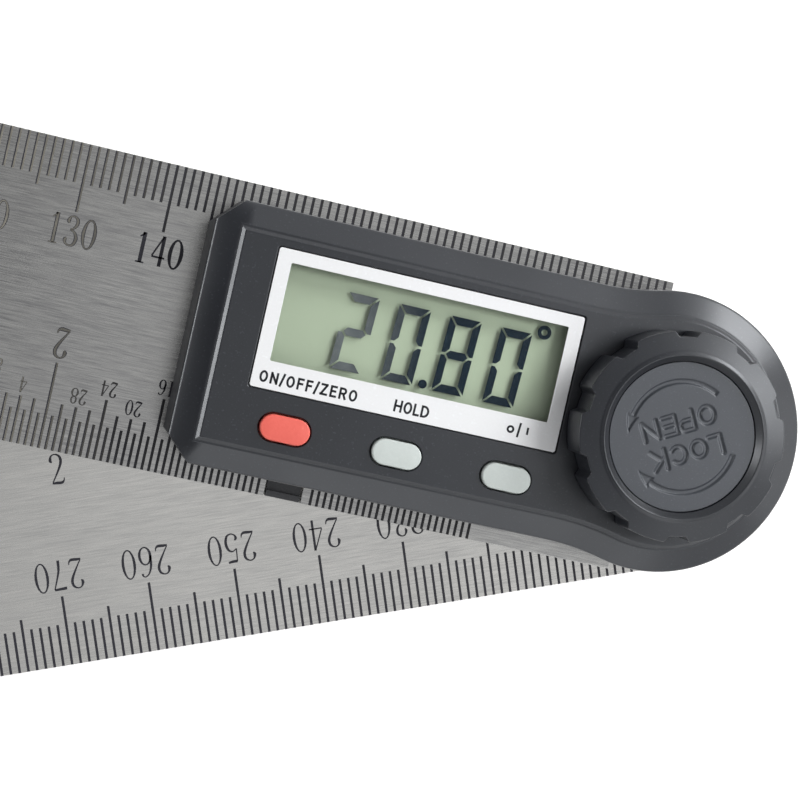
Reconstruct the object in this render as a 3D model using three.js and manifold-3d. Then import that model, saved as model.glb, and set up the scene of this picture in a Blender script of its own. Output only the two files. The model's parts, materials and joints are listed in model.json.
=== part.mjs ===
// Angle finder with two arms: two graduated steel blades that turn on one pivot, a display
// housing fixed on the upper blade, and a lock knob over the pivot.
// Millimetres, +Z up. The origin is on the pivot axis, on the underside of the lower blade.
// The upper blade points along -X, and the lower blade is turned from it by ARM_ANGLE_DEG.

import * as THREE from 'three';
import { mergeVertices } from 'three/addons/utils/BufferGeometryUtils.js';
import Module from 'manifold-3d';

const wasm = await Module();
wasm.setup();

// Blades: the border is the width that shows on each side of the housing
const ARM_ANGLE_DEG = 20.8;
const BLADE_REACH = 200;
const BLADE_BORDER = 2.5;
const BLADE_THICKNESS = 1.2;
const BLADE_SEPARATION = 0.3;
const BLADE_END_INSET = 0.7;

// Engraved scales: the longer marks, which the solids carry
const MARK_WIDTH = 0.28;
const MARK_DEPTH = 0.12;
const MARK_PITCH = 5;
const MARK_LENGTH_FIVE = 5.6;
const MARK_LENGTH_TEN = 7.5;
const INCH = 25.4;
const INCH_ZERO = 17.64;
const INCH_PARTS = 2;
const MARK_LENGTH_HALF = 7.7;
const MARK_LENGTH_INCH = 9.1;

// Clearances
const FACE_CLEARANCE = 0.05;
const FIT_CLEARANCE = 0.15;
const RUNNING_CLEARANCE = 0.2;
const OVERRUN = 1;

// Pivot hub, bush and washers
const HUB_SHAFT_RADIUS = 5;
const HUB_KEY_STEP = 0.4;
const HUB_KEY_CUT = 0.45;
const HUB_THREAD_STEP = 0.25;
const HUB_TIP_RISE = 0.2;
const HUB_FOOT_WALL = 1;
const HUB_FOOT_FLAT_CUT = 0.8;
const HUB_HEAD_OVERHANG = 2;
const HUB_HEAD_THICKNESS = 0.55;
const BUSH_WALL = 1.1;
const BUSH_FLANGE_OVERHANG = 1.9;
const BUSH_FLANGE_THICKNESS = 0.8;
const BLADE_WASHER_INSET = 2.7;
const WAVE_WASHER_WIDTH = 1.9;
const WAVE_WASHER_THICKNESS = 0.4;

// Encoder rotor and its carrier
const CARRIER_WALL = 1.15;
const CARRIER_FLANGE_OVERHANG = 1.7;
const CARRIER_FLANGE_THICKNESS = 0.8;
const ROTOR_EDGE_INSET = 0.2;
const ROTOR_THICKNESS = 0.8;
const ROTOR_AIR_GAP = 0.5;

// Housing cover: a wall, a bevel, and a plateau on a small step
const ROUND_END_SWELL = 1.3;
const WAIST_RADIUS = 31;
const CORNER_CHAMFER = 2.9;
const BEVEL_RISE = 1.5;
const BEVEL_RUN = 2.7;
const STEP_RISE = 0.4;
const STEP_ROUND = 0.25;
const COVER_WALL = 1.4;
const COVER_SHOULDER = 1.2;
const COVER_SHOULDER_DROP = 1.15;

// Margins on the plateau, round the display and the buttons
const PLATEAU_TOP_MARGIN = 1.05;
const PLATEAU_BUTTON_MARGIN = 1.3;
const PLATEAU_END_MARGIN = 4.2;
const BEZEL_KNOB_GAP = 0.55;
const BUTTON_BEZEL_GAP = 2.45;

// Display: the view is the part of it that shows
const VIEW_LENGTH = 32.15;
const VIEW_WIDTH = 11;
const VIEW_CORNER = 0.15;
const VIEW_MARGIN = 0.5;
const BEZEL_SIDE_BORDER = 1.625;
const BEZEL_TOP_BORDER = 1.45;
const BEZEL_LABEL_BORDER = 3.15;
const BEZEL_THICKNESS = 0.13;
const BEZEL_CORNER = 0.6;
const WINDOW_THICKNESS = 0.55;
const DISPLAY_LEDGE = 0.6;
const DISPLAY_SPACE = 2.22;
const LCD_MARGIN_X = 1.6;
const LCD_MARGIN_Y = 1.7;
const LCD_THICKNESS = 2;
const ZEBRA_WIDTH = 1.2;
const ZEBRA_INSET = 0.3;

// Circuit board
const BOARD_THICKNESS = 1.2;
const BOARD_BOSS_GAP = 1.1;
const BOARD_ROUND_GAP = 0.4;
const BOARD_SIDE_GAP = 0.3;
const BOARD_SHOULDER = 8;
const BOARD_HOLE_GAP = 0.4;
const CHIP_RADIUS = 4;
const CHIP_HEIGHT = 1.3;

// Buttons and their dome switches
const BUTTON_LENGTH = 5.7;
const BUTTON_WIDTH = 3;
const BUTTON_PROUD = 0.7;
const BUTTON_ROUND = 0.35;
const BUTTON_SPACING = 12.8;
const BUTTON_TRAVEL = 0.5;
const BUTTON_FLANGE_OVERHANG = 0.5;
const BUTTON_FLANGE_THICKNESS = 0.6;
const BUTTON_STEM_RADIUS = 1;
const DOME_RADIUS = 2;
const DOME_HEIGHT = 0.7;

// Battery tray, coin cell and contacts
const CELL_RADIUS = 10;
const CELL_THICKNESS = 3.2;
const CELL_LID_INSET = 1.2;
const CELL_LID_RISE = 0.25;
const TRAY_FLOOR = 0.5;
const TRAY_DEPTH = 2.6;
const TRAY_SIDE_WALL = 0.75;
const TRAY_FRONT_WALL = 1.2;
const TRAY_BACK_WALL = 1.4;
const TRAY_TAIL = 4.6;
const TRAY_END_GAP = 0.9;
const TRAY_BOSS_GAP = 0.4;
const TRAY_RAIL_WIDTH = 2.9;
const TRAY_GAP_HALF = 4;
const NOTCH_WIDTH = 4.4;
const NOTCH_CLEARANCE = 0.35;
const TAB_SHELF = 0.6;
const TAB_LIP_WIDTH = 0.7;
const TAB_LIP_HEIGHT = 1;
const CONTACT_SPACE = 0.4;
const CONTACT_WIDTH = 3;
const CONTACT_THICKNESS = 0.2;
const CONTACT_FOOT = 2.2;
const CONTACT_LEAF = 6;
const CONTACT_DROP = 2.6;

// Screws and their bosses
const SCREW_RADIUS = 0.75;
const SCREW_HEAD_RADIUS = 1.35;
const SCREW_HEAD_HEIGHT = 0.6;
const SCREW_LENGTH = 6.6;
const SCREW_SLOT_WIDTH = 0.35;
const SCREW_SLOT_DEPTH = 0.3;
const CORNER_BOSS_RADIUS = 1.3;
const CORNER_BOSS_END_INSET = 1.2;
const CORNER_BOSS_SIDE_INSET = 4;
const ROUND_BOSS_RADIUS = 1.9;
const ROUND_BOSS_INSET = 1.8;
const ROUND_BOSS_ANGLE_DEG = 45;
const BOARD_SCREW_RADIUS = 0.6;
const BOARD_SCREW_HEAD_RADIUS = 1.2;
const BOARD_SCREW_HEAD_HEIGHT = 0.6;
const BOARD_SCREW_GRIP = 2.4;
const BOARD_POST_RADIUS = 1.6;
const BOARD_POST_GAP = 1.025;
const BOARD_POST_INSET = 2.8;

// Lock knob
const KNOB_RADIUS = 11.85;
const KNOB_HEIGHT = 6.2;
const KNOB_CLEARANCE = 0.3;
const KNOB_ROUND = 0.35;
const KNOB_NOTCHES = 10;
const KNOB_NOTCH_DEPTH = 0.7;
const KNOB_NOTCH_MOUTH_DEG = 15.5;
const KNOB_NOTCH_FLOOR_DEG = 9;
const KNOB_TURN_DEG = 28.2;
const KNOB_RIM = 2.6;
const KNOB_RIM_FALL = 0.7;
const KNOB_LIP_WIDTH = 0.8;
const KNOB_LIP_DROP = 0.75;
const KNOB_RECESS_DEPTH = 0.85;
const KNOB_WEB = 1.4;
const KNOB_CAP_THICKNESS = 0.6;
const NUT_WALL = 1.9;
const CLAMP_DEPTH = 0.85;
const CLAMP_THICKNESS = 0.6;
const CLAMP_OVERHANG = 1.7;
const ARROW_EDGE_INSET = 2.175;
const ARROW_WIDTH = 0.5;
const ARROW_DEPTH = 0.2;
const ARROW_HEAD_HALF = 0.6;
const ARROW_HEAD_LENGTH = 1.75;
const ARROW_START_DEG = 35;
const ARROW_END_DEG = 141.5;

// Counts of flat sides on round shapes
const FINE_SIDES = 48;
const ROUND_SIDES = 32;
const SMALL_SIDES = 12;
const WAIST_SIDES = 4;

// Heights of the stack, from the bench upwards
const lowerTop = BLADE_THICKNESS;
const upperUnderside = lowerTop + BLADE_SEPARATION;
const upperTop = upperUnderside + BLADE_THICKNESS;
const bushTop = upperTop + BUSH_FLANGE_THICKNESS;
const waveLow = bushTop + FACE_CLEARANCE;
const waveTop = waveLow + WAVE_WASHER_THICKNESS;
const carrierLow = waveTop + FACE_CLEARANCE;
const trayLow = upperTop + RUNNING_CLEARANCE;
const trayFloorTop = trayLow + TRAY_FLOOR;
const cellTop = trayFloorTop + CELL_THICKNESS;
const trayTop = trayFloorTop + TRAY_DEPTH;
const slotTop = cellTop + RUNNING_CLEARANCE;
const boardLow = cellTop + CONTACT_SPACE;
const boardTop = boardLow + BOARD_THICKNESS;
const rotorTop = boardLow - ROTOR_AIR_GAP;
const rotorLow = rotorTop - ROTOR_THICKNESS;
const carrierFlangeTop = rotorLow - FACE_CLEARANCE;
const carrierFlangeLow = carrierFlangeTop - CARRIER_FLANGE_THICKNESS;
const domeTop = boardTop + DOME_HEIGHT;
const lcdLow = boardTop + DISPLAY_SPACE;
const lcdTop = lcdLow + LCD_THICKNESS;
const ceiling = lcdTop + FACE_CLEARANCE;
const windowLow = ceiling + DISPLAY_LEDGE;
const windowTop = windowLow + WINDOW_THICKNESS;
const plateauTop = windowTop + BEZEL_THICKNESS;

// Heights of the housing, from its top downwards
const bevelTop = plateauTop - STEP_RISE;
const wallTop = bevelTop - BEVEL_RISE;
const shoulderTop = ceiling - COVER_SHOULDER_DROP;

// Heights of the clamp and the knob
const carrierTop = plateauTop - CLAMP_DEPTH;
const clampLow = carrierTop + FACE_CLEARANCE;
const clampTop = clampLow + CLAMP_THICKNESS;
const nutLow = clampTop + FACE_CLEARANCE;
const knobLow = plateauTop + KNOB_CLEARANCE;
const knobTop = knobLow + KNOB_HEIGHT;
const capTop = knobTop - KNOB_RECESS_DEPTH;
const capLow = capTop - KNOB_CAP_THICKNESS;
const capSeat = capLow - FACE_CLEARANCE;
const nutSeat = capSeat - KNOB_WEB;
const nutTop = nutSeat - FACE_CLEARANCE;
const hubTop = nutSeat + HUB_TIP_RISE;

// Radii that fit into each other around the pivot axis
const keyRadius = HUB_SHAFT_RADIUS - HUB_KEY_STEP;
const keyFlat = keyRadius - HUB_KEY_CUT;
const threadRadius = keyFlat - HUB_THREAD_STEP;
const bushBore = HUB_SHAFT_RADIUS + RUNNING_CLEARANCE;
const bushRadius = bushBore + BUSH_WALL;
const bladeHole = bushRadius + FIT_CLEARANCE;
const bushFlangeRadius = bladeHole + BUSH_FLANGE_OVERHANG;
const footRadius = HUB_SHAFT_RADIUS + HUB_FOOT_WALL;
const footFlat = footRadius - HUB_FOOT_FLAT_CUT;
const headRadius = footRadius + HUB_HEAD_OVERHANG;
const carrierBore = keyRadius + FIT_CLEARANCE;
const carrierFlat = keyFlat + FIT_CLEARANCE;
const carrierRadius = carrierBore + CARRIER_WALL;
const carrierFlangeRadius = carrierRadius + CARRIER_FLANGE_OVERHANG;
const clampRadius = carrierRadius + CLAMP_OVERHANG;
const coverHole = clampRadius + 2 * RUNNING_CLEARANCE;
const nutBore = threadRadius + FIT_CLEARANCE;
const nutRadius = nutBore + NUT_WALL;
const lipRadius = KNOB_RADIUS - KNOB_RIM;
const recessRadius = lipRadius - KNOB_LIP_WIDTH;
const capRadius = recessRadius - FIT_CLEARANCE / 2;
const arrowRadius = capRadius - ARROW_EDGE_INSET;

// Width of the housing: what its widest row needs, over the display or over the battery tray
const pocketRadius = CELL_RADIUS + FIT_CLEARANCE;
const trayLength = TRAY_FRONT_WALL + 2 * pocketRadius + TRAY_BACK_WALL + TRAY_TAIL;
const trayRow = trayLength + TRAY_END_GAP + COVER_WALL;
const bezelLength = VIEW_LENGTH + 2 * BEZEL_SIDE_BORDER;
const bezelWidth = VIEW_WIDTH + BEZEL_TOP_BORDER + BEZEL_LABEL_BORDER;
const buttonRow = BUTTON_BEZEL_GAP + BUTTON_WIDTH + PLATEAU_BUTTON_MARGIN;
const edgeRun = BEVEL_RUN + 2 * STEP_ROUND;
const displayRow = PLATEAU_TOP_MARGIN + bezelWidth + buttonRow + 2 * edgeRun;
const housingHalf = Math.max(trayRow, displayRow) / 2;
const plateauHalf = housingHalf - edgeRun;
const roundEndRadius = housingHalf + ROUND_END_SWELL;
const halfWidth = housingHalf + BLADE_BORDER;
const bladeEndRadius = roundEndRadius - BLADE_END_INSET;
const bladeWasherRadius = bladeEndRadius - BLADE_WASHER_INSET;

// Places on the plateau
const bezelRight = -(KNOB_RADIUS + BEZEL_KNOB_GAP);
const displayX = bezelRight - bezelLength / 2;
const bezelY = plateauHalf - PLATEAU_TOP_MARGIN - bezelWidth / 2;
const viewY = plateauHalf - PLATEAU_TOP_MARGIN - BEZEL_TOP_BORDER - VIEW_WIDTH / 2;
const lcdRight = bezelRight - BEZEL_SIDE_BORDER + LCD_MARGIN_X;
const housingReach = -bezelRight + bezelLength + PLATEAU_END_MARGIN + edgeRun;
const buttonY = -plateauHalf + PLATEAU_BUTTON_MARGIN + BUTTON_WIDTH / 2;
const buttonPlaces = [-1, 0, 1].map((step) => displayX + step * BUTTON_SPACING);

// Places of the bosses, the board and the tray inside
const radians = (degrees) => degrees * Math.PI / 180;
const boreRadius = SCREW_RADIUS + FIT_CLEARANCE;
const cornerBossX = -(housingReach - COVER_WALL - CORNER_BOSS_END_INSET);
const cornerBossY = housingHalf - COVER_WALL - CORNER_BOSS_SIDE_INSET;
const roundBossReach = roundEndRadius - COVER_WALL - ROUND_BOSS_INSET;
const roundBossX = roundBossReach * Math.cos(radians(ROUND_BOSS_ANGLE_DEG));
const roundBossY = roundBossReach * Math.sin(radians(ROUND_BOSS_ANGLE_DEG));
const screwPlaces = [
  [cornerBossX, -cornerBossY, CORNER_BOSS_RADIUS],
  [cornerBossX, cornerBossY, CORNER_BOSS_RADIUS],
  [roundBossX, -roundBossY, ROUND_BOSS_RADIUS],
  [roundBossX, roundBossY, ROUND_BOSS_RADIUS],
];
const cornerBossEdge = cornerBossX + CORNER_BOSS_RADIUS;
const boardReach = -(cornerBossEdge + BOARD_BOSS_GAP);
const boardHalf = housingHalf - COVER_WALL - COVER_SHOULDER - BOARD_SIDE_GAP;
const boardEndRadius = roundBossReach - ROUND_BOSS_RADIUS - BOARD_ROUND_GAP;
const rotorRadius = boardEndRadius - ROTOR_EDGE_INSET;
const boardPostX = lcdRight + BOARD_POST_GAP + BOARD_POST_RADIUS;
const boardPostY = boardHalf - BOARD_POST_INSET;
const boardPostPlaces = [
  [boardPostX, -boardPostY],
  [boardPostX, boardPostY],
];
const trayHalf = pocketRadius + TRAY_SIDE_WALL;
const trayX = cornerBossEdge + TRAY_BOSS_GAP + trayHalf;
const trayFront = -housingHalf;
const cellY = trayFront + TRAY_FRONT_WALL + pocketRadius;
const trayBack = cellY + pocketRadius + TRAY_BACK_WALL;
const tabHalf = NOTCH_WIDTH / 2 - RUNNING_CLEARANCE;
const tabRootInner = trayFront + TAB_LIP_WIDTH / 2;
const notchInner = tabRootInner + NOTCH_CLEARANCE;

// Solid helpers

// A closed geometry as a solid: shared corners merged, faces without area dropped
function solid(geometry) {
  const bare = geometry.clone();
  bare.deleteAttribute('normal');
  bare.deleteAttribute('uv');
  const merged = mergeVertices(bare);
  const order = merged.index.array;
  const faces = [];
  for (let i = 0; i < order.length; i += 3) {
    const [a, b, c] = [order[i], order[i + 1], order[i + 2]];
    if (a !== b && b !== c && c !== a) {
      faces.push(a, b, c);
    }
  }
  const vertProperties = Float32Array.from(merged.attributes.position.array);
  const triVerts = Uint32Array.from(faces);
  return new wasm.Manifold(new wasm.Mesh({ numProp: 3, vertProperties, triVerts }));
}

// A solid back as a geometry with flat faces
function surface(body) {
  const mesh = body.getMesh();
  const geometry = new THREE.BufferGeometry();
  geometry.setAttribute('position', new THREE.BufferAttribute(new Float32Array(mesh.vertProperties), 3));
  geometry.setIndex(new THREE.BufferAttribute(new Uint32Array(mesh.triVerts), 1));
  geometry.computeVertexNormals();
  return geometry;
}

function joined(...bodies) {
  return bodies.reduce((sum, body) => sum.add(body));
}

function cut(body, ...tools) {
  return tools.reduce((rest, tool) => rest.subtract(tool), body);
}

function block(x0, x1, y0, y1, z0, z1) {
  const geometry = new THREE.BoxGeometry(x1 - x0, y1 - y0, z1 - z0);
  geometry.translate((x0 + x1) / 2, (y0 + y1) / 2, (z0 + z1) / 2);
  return solid(geometry);
}

function post(radius, z0, z1, x = 0, y = 0, sides = ROUND_SIDES) {
  const geometry = new THREE.CylinderGeometry(radius, radius, z1 - z0, sides);
  geometry.rotateX(Math.PI / 2);
  geometry.translate(x, y, (z0 + z1) / 2);
  return solid(geometry);
}

function cone(radiusLow, radiusHigh, z0, z1, x, y, sides = SMALL_SIDES) {
  const geometry = new THREE.CylinderGeometry(radiusHigh, radiusLow, z1 - z0, sides);
  geometry.rotateX(Math.PI / 2);
  geometry.translate(x, y, (z0 + z1) / 2);
  return solid(geometry);
}

function plate(shape, z0, z1) {
  const geometry = new THREE.ExtrudeGeometry(shape, { depth: z1 - z0, bevelEnabled: false });
  geometry.translate(0, 0, z0);
  return solid(geometry);
}

// A plate whose ends slope inwards to the given outline
function slopedPlate(shape, z0, z1, rise, run) {
  const geometry = new THREE.ExtrudeGeometry(shape, {
    depth: z1 - z0,
    bevelEnabled: true,
    bevelThickness: rise,
    bevelSize: run,
    bevelSegments: 1,
  });
  geometry.translate(0, 0, z0);
  return solid(geometry);
}

function turned(profile, sides = ROUND_SIDES) {
  const points = profile.map(([r, z]) => new THREE.Vector2(r, z));
  const geometry = new THREE.LatheGeometry(points, sides);
  geometry.rotateX(Math.PI / 2);
  return solid(geometry);
}

// Outline helpers

function arcPoints(x, y, radius, from, to, steps) {
  return Array.from({ length: steps + 1 }, (_, i) => {
    const angle = from + (to - from) * i / steps;
    return new THREE.Vector2(x + radius * Math.cos(angle), y + radius * Math.sin(angle));
  });
}

function onCircle(radius, angle) {
  return new THREE.Vector2(radius * Math.cos(angle), radius * Math.sin(angle));
}

function circleHole(radius, sides = ROUND_SIDES) {
  return new THREE.Path(arcPoints(0, 0, radius, 0, 2 * Math.PI, sides).slice(0, sides));
}

function roundedRectangle(x, y, length, width, corner, sides = 3) {
  const dx = length / 2 - corner;
  const dy = width / 2 - corner;
  const turn = Math.PI / 2;
  return new THREE.Shape([
    ...arcPoints(x + dx, y + dy, corner, 0, turn, sides),
    ...arcPoints(x - dx, y + dy, corner, turn, 2 * turn, sides),
    ...arcPoints(x - dx, y - dy, corner, 2 * turn, 3 * turn, sides),
    ...arcPoints(x + dx, y - dy, corner, 3 * turn, 4 * turn, sides),
  ]);
}

function stadium(x, y, length, width) {
  const reach = length / 2 - width / 2;
  return new THREE.Shape([
    ...arcPoints(x + reach, y, width / 2, -Math.PI / 2, Math.PI / 2, 6),
    ...arcPoints(x - reach, y, width / 2, Math.PI / 2, 3 * Math.PI / 2, 6),
  ]);
}

// A circle with two flats, as on a keyed shaft
function flattedCircle(radius, flat) {
  const half = Math.acos(flat / radius);
  return [
    ...arcPoints(0, 0, radius, half, Math.PI - half, 8),
    ...arcPoints(0, 0, radius, Math.PI + half, 2 * Math.PI - half, 8),
  ];
}

// Outline of the housing, moved inwards by inset: straight sides, a waist and a round end
function housingOutline(inset, chamfer) {
  const reach = housingReach - inset;
  const half = housingHalf - inset;
  const radius = roundEndRadius - inset;
  const waist = WAIST_RADIUS + inset;
  const waistY = housingHalf + WAIST_RADIUS;
  const waistX = -Math.sqrt((roundEndRadius + WAIST_RADIUS) ** 2 - waistY ** 2);
  const meet = Math.atan2(waistY, waistX);
  const top = [
    ...arcPoints(0, 0, radius, 0, meet, FINE_SIDES / 4),
    ...arcPoints(waistX, waistY, waist, meet - Math.PI, -Math.PI / 2, WAIST_SIDES).slice(1),
  ];
  if (chamfer > 0) {
    top.push(new THREE.Vector2(-reach + chamfer, half), new THREE.Vector2(-reach, half - chamfer));
  } else {
    top.push(new THREE.Vector2(-reach, half));
  }
  const bottom = top.slice(1).reverse().map((point) => new THREE.Vector2(point.x, -point.y));
  return new THREE.Shape([...top, ...bottom]);
}

// The pieces

// Marks of one scale as one set of bars over a blade edge at y = edge, reaching inwards
function markBars(edge, spots, top) {
  const inward = -Math.sign(edge);
  return spots.map(([x, length]) => {
    const outer = edge - inward * OVERRUN;
    const inner = edge + inward * length;
    const low = Math.min(outer, inner);
    const high = Math.max(outer, inner);
    return block(x - MARK_WIDTH / 2, x + MARK_WIDTH / 2, low, high, top - MARK_DEPTH, top + OVERRUN);
  });
}

function millimetreSpots() {
  const count = Math.floor(BLADE_REACH / MARK_PITCH);
  return Array.from({ length: count - 1 }, (_, i) => {
    const long = (i + 1) % 2 === 0;
    return [-BLADE_REACH + (i + 1) * MARK_PITCH, long ? MARK_LENGTH_TEN : MARK_LENGTH_FIVE];
  });
}

function inchSpots() {
  const count = Math.floor((BLADE_REACH - INCH_ZERO) / INCH * INCH_PARTS);
  return Array.from({ length: count + 1 }, (_, i) => {
    const whole = i % INCH_PARTS === 0;
    return [-INCH_ZERO - i * INCH / INCH_PARTS, whole ? MARK_LENGTH_INCH : MARK_LENGTH_HALF];
  });
}

// Blade outline: square far end, round end under the housing, and an optional notch in the -Y edge
function bladeOutline(notched) {
  const points = [new THREE.Vector2(-BLADE_REACH, -halfWidth)];
  if (notched) {
    const left = trayX - NOTCH_WIDTH / 2;
    const right = trayX + NOTCH_WIDTH / 2;
    points.push(new THREE.Vector2(left, -halfWidth), new THREE.Vector2(left, notchInner));
    points.push(new THREE.Vector2(right, notchInner), new THREE.Vector2(right, -halfWidth));
  }
  points.push(new THREE.Vector2(0, -halfWidth));
  points.push(...arcPoints(0, 0, bladeEndRadius, -Math.PI / 2, Math.PI / 2, FINE_SIDES / 2));
  points.push(new THREE.Vector2(0, halfWidth), new THREE.Vector2(-BLADE_REACH, halfWidth));
  return new THREE.Shape(points);
}

function upperBlade() {
  const outline = bladeOutline(true);
  outline.holes.push(circleHole(bladeHole));
  const sinkRadius = SCREW_HEAD_RADIUS + FIT_CLEARANCE;
  const sinkTop = upperUnderside + SCREW_HEAD_HEIGHT;
  const holes = screwPlaces.flatMap(([x, y]) => [
    post(boreRadius, upperUnderside - OVERRUN, upperTop + OVERRUN, x, y, SMALL_SIDES),
    cone(sinkRadius, boreRadius, upperUnderside, sinkTop, x, y),
  ]);
  const inNotch = ([x]) => Math.abs(x - trayX) < NOTCH_WIDTH / 2 + MARK_WIDTH;
  const marks = [
    ...markBars(halfWidth, millimetreSpots(), upperTop),
    ...markBars(-halfWidth, inchSpots().filter((spot) => !inNotch(spot)), upperTop),
  ];
  return surface(cut(plate(outline, upperUnderside, upperTop), ...holes, ...marks));
}

function lowerBlade() {
  const outline = bladeOutline(false);
  outline.holes.push(new THREE.Path(flattedCircle(footRadius + FIT_CLEARANCE, footFlat + FIT_CLEARANCE)));
  const seat = post(headRadius + FIT_CLEARANCE, -OVERRUN, HUB_HEAD_THICKNESS + FACE_CLEARANCE);
  const marks = [
    ...markBars(-halfWidth, millimetreSpots(), lowerTop),
    ...markBars(halfWidth, inchSpots(), lowerTop),
  ];
  return surface(cut(plate(outline, 0, lowerTop), seat, ...marks));
}

// Flanged stud fixed in the lower blade: head, keyed foot, plain shaft, keyed neck and thread
function pivotHub() {
  return surface(joined(
    post(headRadius, 0, HUB_HEAD_THICKNESS),
    plate(new THREE.Shape(flattedCircle(footRadius, footFlat)), 0, lowerTop),
    post(HUB_SHAFT_RADIUS, 0, bushTop),
    plate(new THREE.Shape(flattedCircle(keyRadius, keyFlat)), 0, carrierTop - FACE_CLEARANCE),
    post(threadRadius, 0, hubTop),
  ));
}

function ring(inner, outer, z0, z1) {
  return surface(turned([[inner, z0], [outer, z0], [outer, z1], [inner, z1], [inner, z0]]));
}

// Sliding washer that keeps the two blades apart
function bladeWasher() {
  return ring(bushBore, bladeWasherRadius, lowerTop + FACE_CLEARANCE, upperUnderside);
}

function waveWasher() {
  return ring(bushBore, bushBore + WAVE_WASHER_WIDTH, waveLow, waveTop);
}

function encoderRotor() {
  return ring(carrierRadius + FIT_CLEARANCE, rotorRadius, rotorLow, rotorTop);
}

// Washer between the carrier and the nut, so that the turning nut doesn't turn the carrier
function clampWasher() {
  return ring(threadRadius + RUNNING_CLEARANCE, clampRadius, clampLow, clampTop);
}

function pivotBush() {
  return surface(turned([
    [bushBore, upperUnderside],
    [bushRadius, upperUnderside],
    [bushRadius, upperTop],
    [bushFlangeRadius, upperTop],
    [bushFlangeRadius, bushTop],
    [bushBore, bushTop],
    [bushBore, upperUnderside],
  ]));
}

// Sleeve keyed on the hub: it carries the encoder rotor and passes the clamping force down
function rotorCarrier() {
  const body = joined(
    post(carrierRadius, carrierLow, carrierTop),
    post(carrierFlangeRadius, carrierFlangeLow, carrierFlangeTop),
  );
  const keyway = new THREE.Shape(flattedCircle(carrierBore, carrierFlat));
  return surface(cut(body, plate(keyway, carrierLow - OVERRUN, carrierTop + OVERRUN)));
}

// Housing

// Wedge that takes the upright chamfer off one left corner, side = 1 or -1 in Y
function cornerWedge(side) {
  const x = -housingReach;
  const y = side * housingHalf;
  const points = [
    new THREE.Vector2(x - OVERRUN, y - side * (CORNER_CHAMFER + OVERRUN)),
    new THREE.Vector2(x + CORNER_CHAMFER + OVERRUN, y + side * OVERRUN),
    new THREE.Vector2(x - OVERRUN, y + side * OVERRUN),
  ];
  return plate(new THREE.Shape(points), upperTop - OVERRUN, plateauTop + OVERRUN);
}

function housingCover() {
  const floorZ = upperTop;
  const body = slopedPlate(housingOutline(BEVEL_RUN, 0), floorZ, wallTop, BEVEL_RISE, BEVEL_RUN);
  const below = block(
    -housingReach - OVERRUN, roundEndRadius + OVERRUN,
    -roundEndRadius - OVERRUN, roundEndRadius + OVERRUN,
    floorZ - BEVEL_RISE - OVERRUN, floorZ,
  );
  const trimmed = cut(body, below, cornerWedge(1), cornerWedge(-1));
  const stepOutline = housingOutline(BEVEL_RUN + 2 * STEP_ROUND, 0);
  const stepLow = bevelTop - STEP_RISE;
  const step = slopedPlate(stepOutline, stepLow, plateauTop - STEP_ROUND, STEP_ROUND, STEP_ROUND);
  const innerChamfer = CORNER_CHAMFER - COVER_WALL * (2 - Math.SQRT2);
  const shoulderInset = COVER_WALL + COVER_SHOULDER;
  const innerRoom = plate(housingOutline(COVER_WALL, innerChamfer), floorZ - OVERRUN, shoulderTop);
  const upperRoom = plate(housingOutline(shoulderInset, innerChamfer), floorZ - OVERRUN, ceiling);
  const bosses = screwPlaces.map(([x, y, radius]) => (
    post(radius, floorZ, shoulderTop + STEP_ROUND, x, y, SMALL_SIDES)
  ));
  const posts = boardPostPlaces.map(([x, y]) => (
    post(BOARD_POST_RADIUS, boardTop, ceiling + STEP_ROUND, x, y, SMALL_SIDES)
  ));
  const shell = joined(cut(joined(trimmed, step), innerRoom, upperRoom), ...bosses, ...posts);

  const recess = roundedRectangle(
    displayX, bezelY, bezelLength + 2 * FIT_CLEARANCE, bezelWidth + 2 * FIT_CLEARANCE, BEZEL_CORNER);
  const view = roundedRectangle(
    displayX, viewY, VIEW_LENGTH + 2 * VIEW_MARGIN, VIEW_WIDTH + 2 * VIEW_MARGIN, VIEW_CORNER);
  const holeLength = BUTTON_LENGTH + 2 * FIT_CLEARANCE;
  const holeWidth = BUTTON_WIDTH + 2 * FIT_CLEARANCE;
  const buttonHoles = buttonPlaces.map((x) => (
    plate(stadium(x, buttonY, holeLength, holeWidth), ceiling - OVERRUN, plateauTop + OVERRUN)
  ));
  const traySlot = block(
    trayX - trayHalf - RUNNING_CLEARANCE, trayX + trayHalf + RUNNING_CLEARANCE,
    -housingHalf - OVERRUN, -housingHalf + COVER_WALL + FIT_CLEARANCE,
    floorZ - OVERRUN, slotTop,
  );
  const screwBores = screwPlaces.map(([x, y]) => {
    const depth = upperUnderside + SCREW_LENGTH + 2 * FIT_CLEARANCE;
    return post(boreRadius, floorZ - OVERRUN, depth, x, y, SMALL_SIDES);
  });
  const boardBores = boardPostPlaces.map(([x, y]) => {
    const depth = boardTop + BOARD_SCREW_GRIP + 2 * FIT_CLEARANCE;
    return post(BOARD_SCREW_RADIUS + FIT_CLEARANCE, boardTop - OVERRUN, depth, x, y, SMALL_SIDES);
  });
  return surface(cut(
    shell,
    plate(recess, windowLow, plateauTop + OVERRUN),
    plate(view, ceiling - OVERRUN, plateauTop),
    post(coverHole, ceiling - OVERRUN, plateauTop + OVERRUN),
    traySlot,
    ...buttonHoles,
    ...screwBores,
    ...boardBores,
  ));
}

// Display

function displayBezel() {
  const frame = roundedRectangle(displayX, bezelY, bezelLength, bezelWidth, BEZEL_CORNER);
  frame.holes.push(roundedRectangle(displayX, viewY, VIEW_LENGTH, VIEW_WIDTH, VIEW_CORNER));
  return surface(plate(frame, windowTop, plateauTop));
}

function displayWindow() {
  const sheet = roundedRectangle(displayX, bezelY, bezelLength, bezelWidth, BEZEL_CORNER);
  return surface(plate(sheet, windowLow, windowTop));
}

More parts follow.
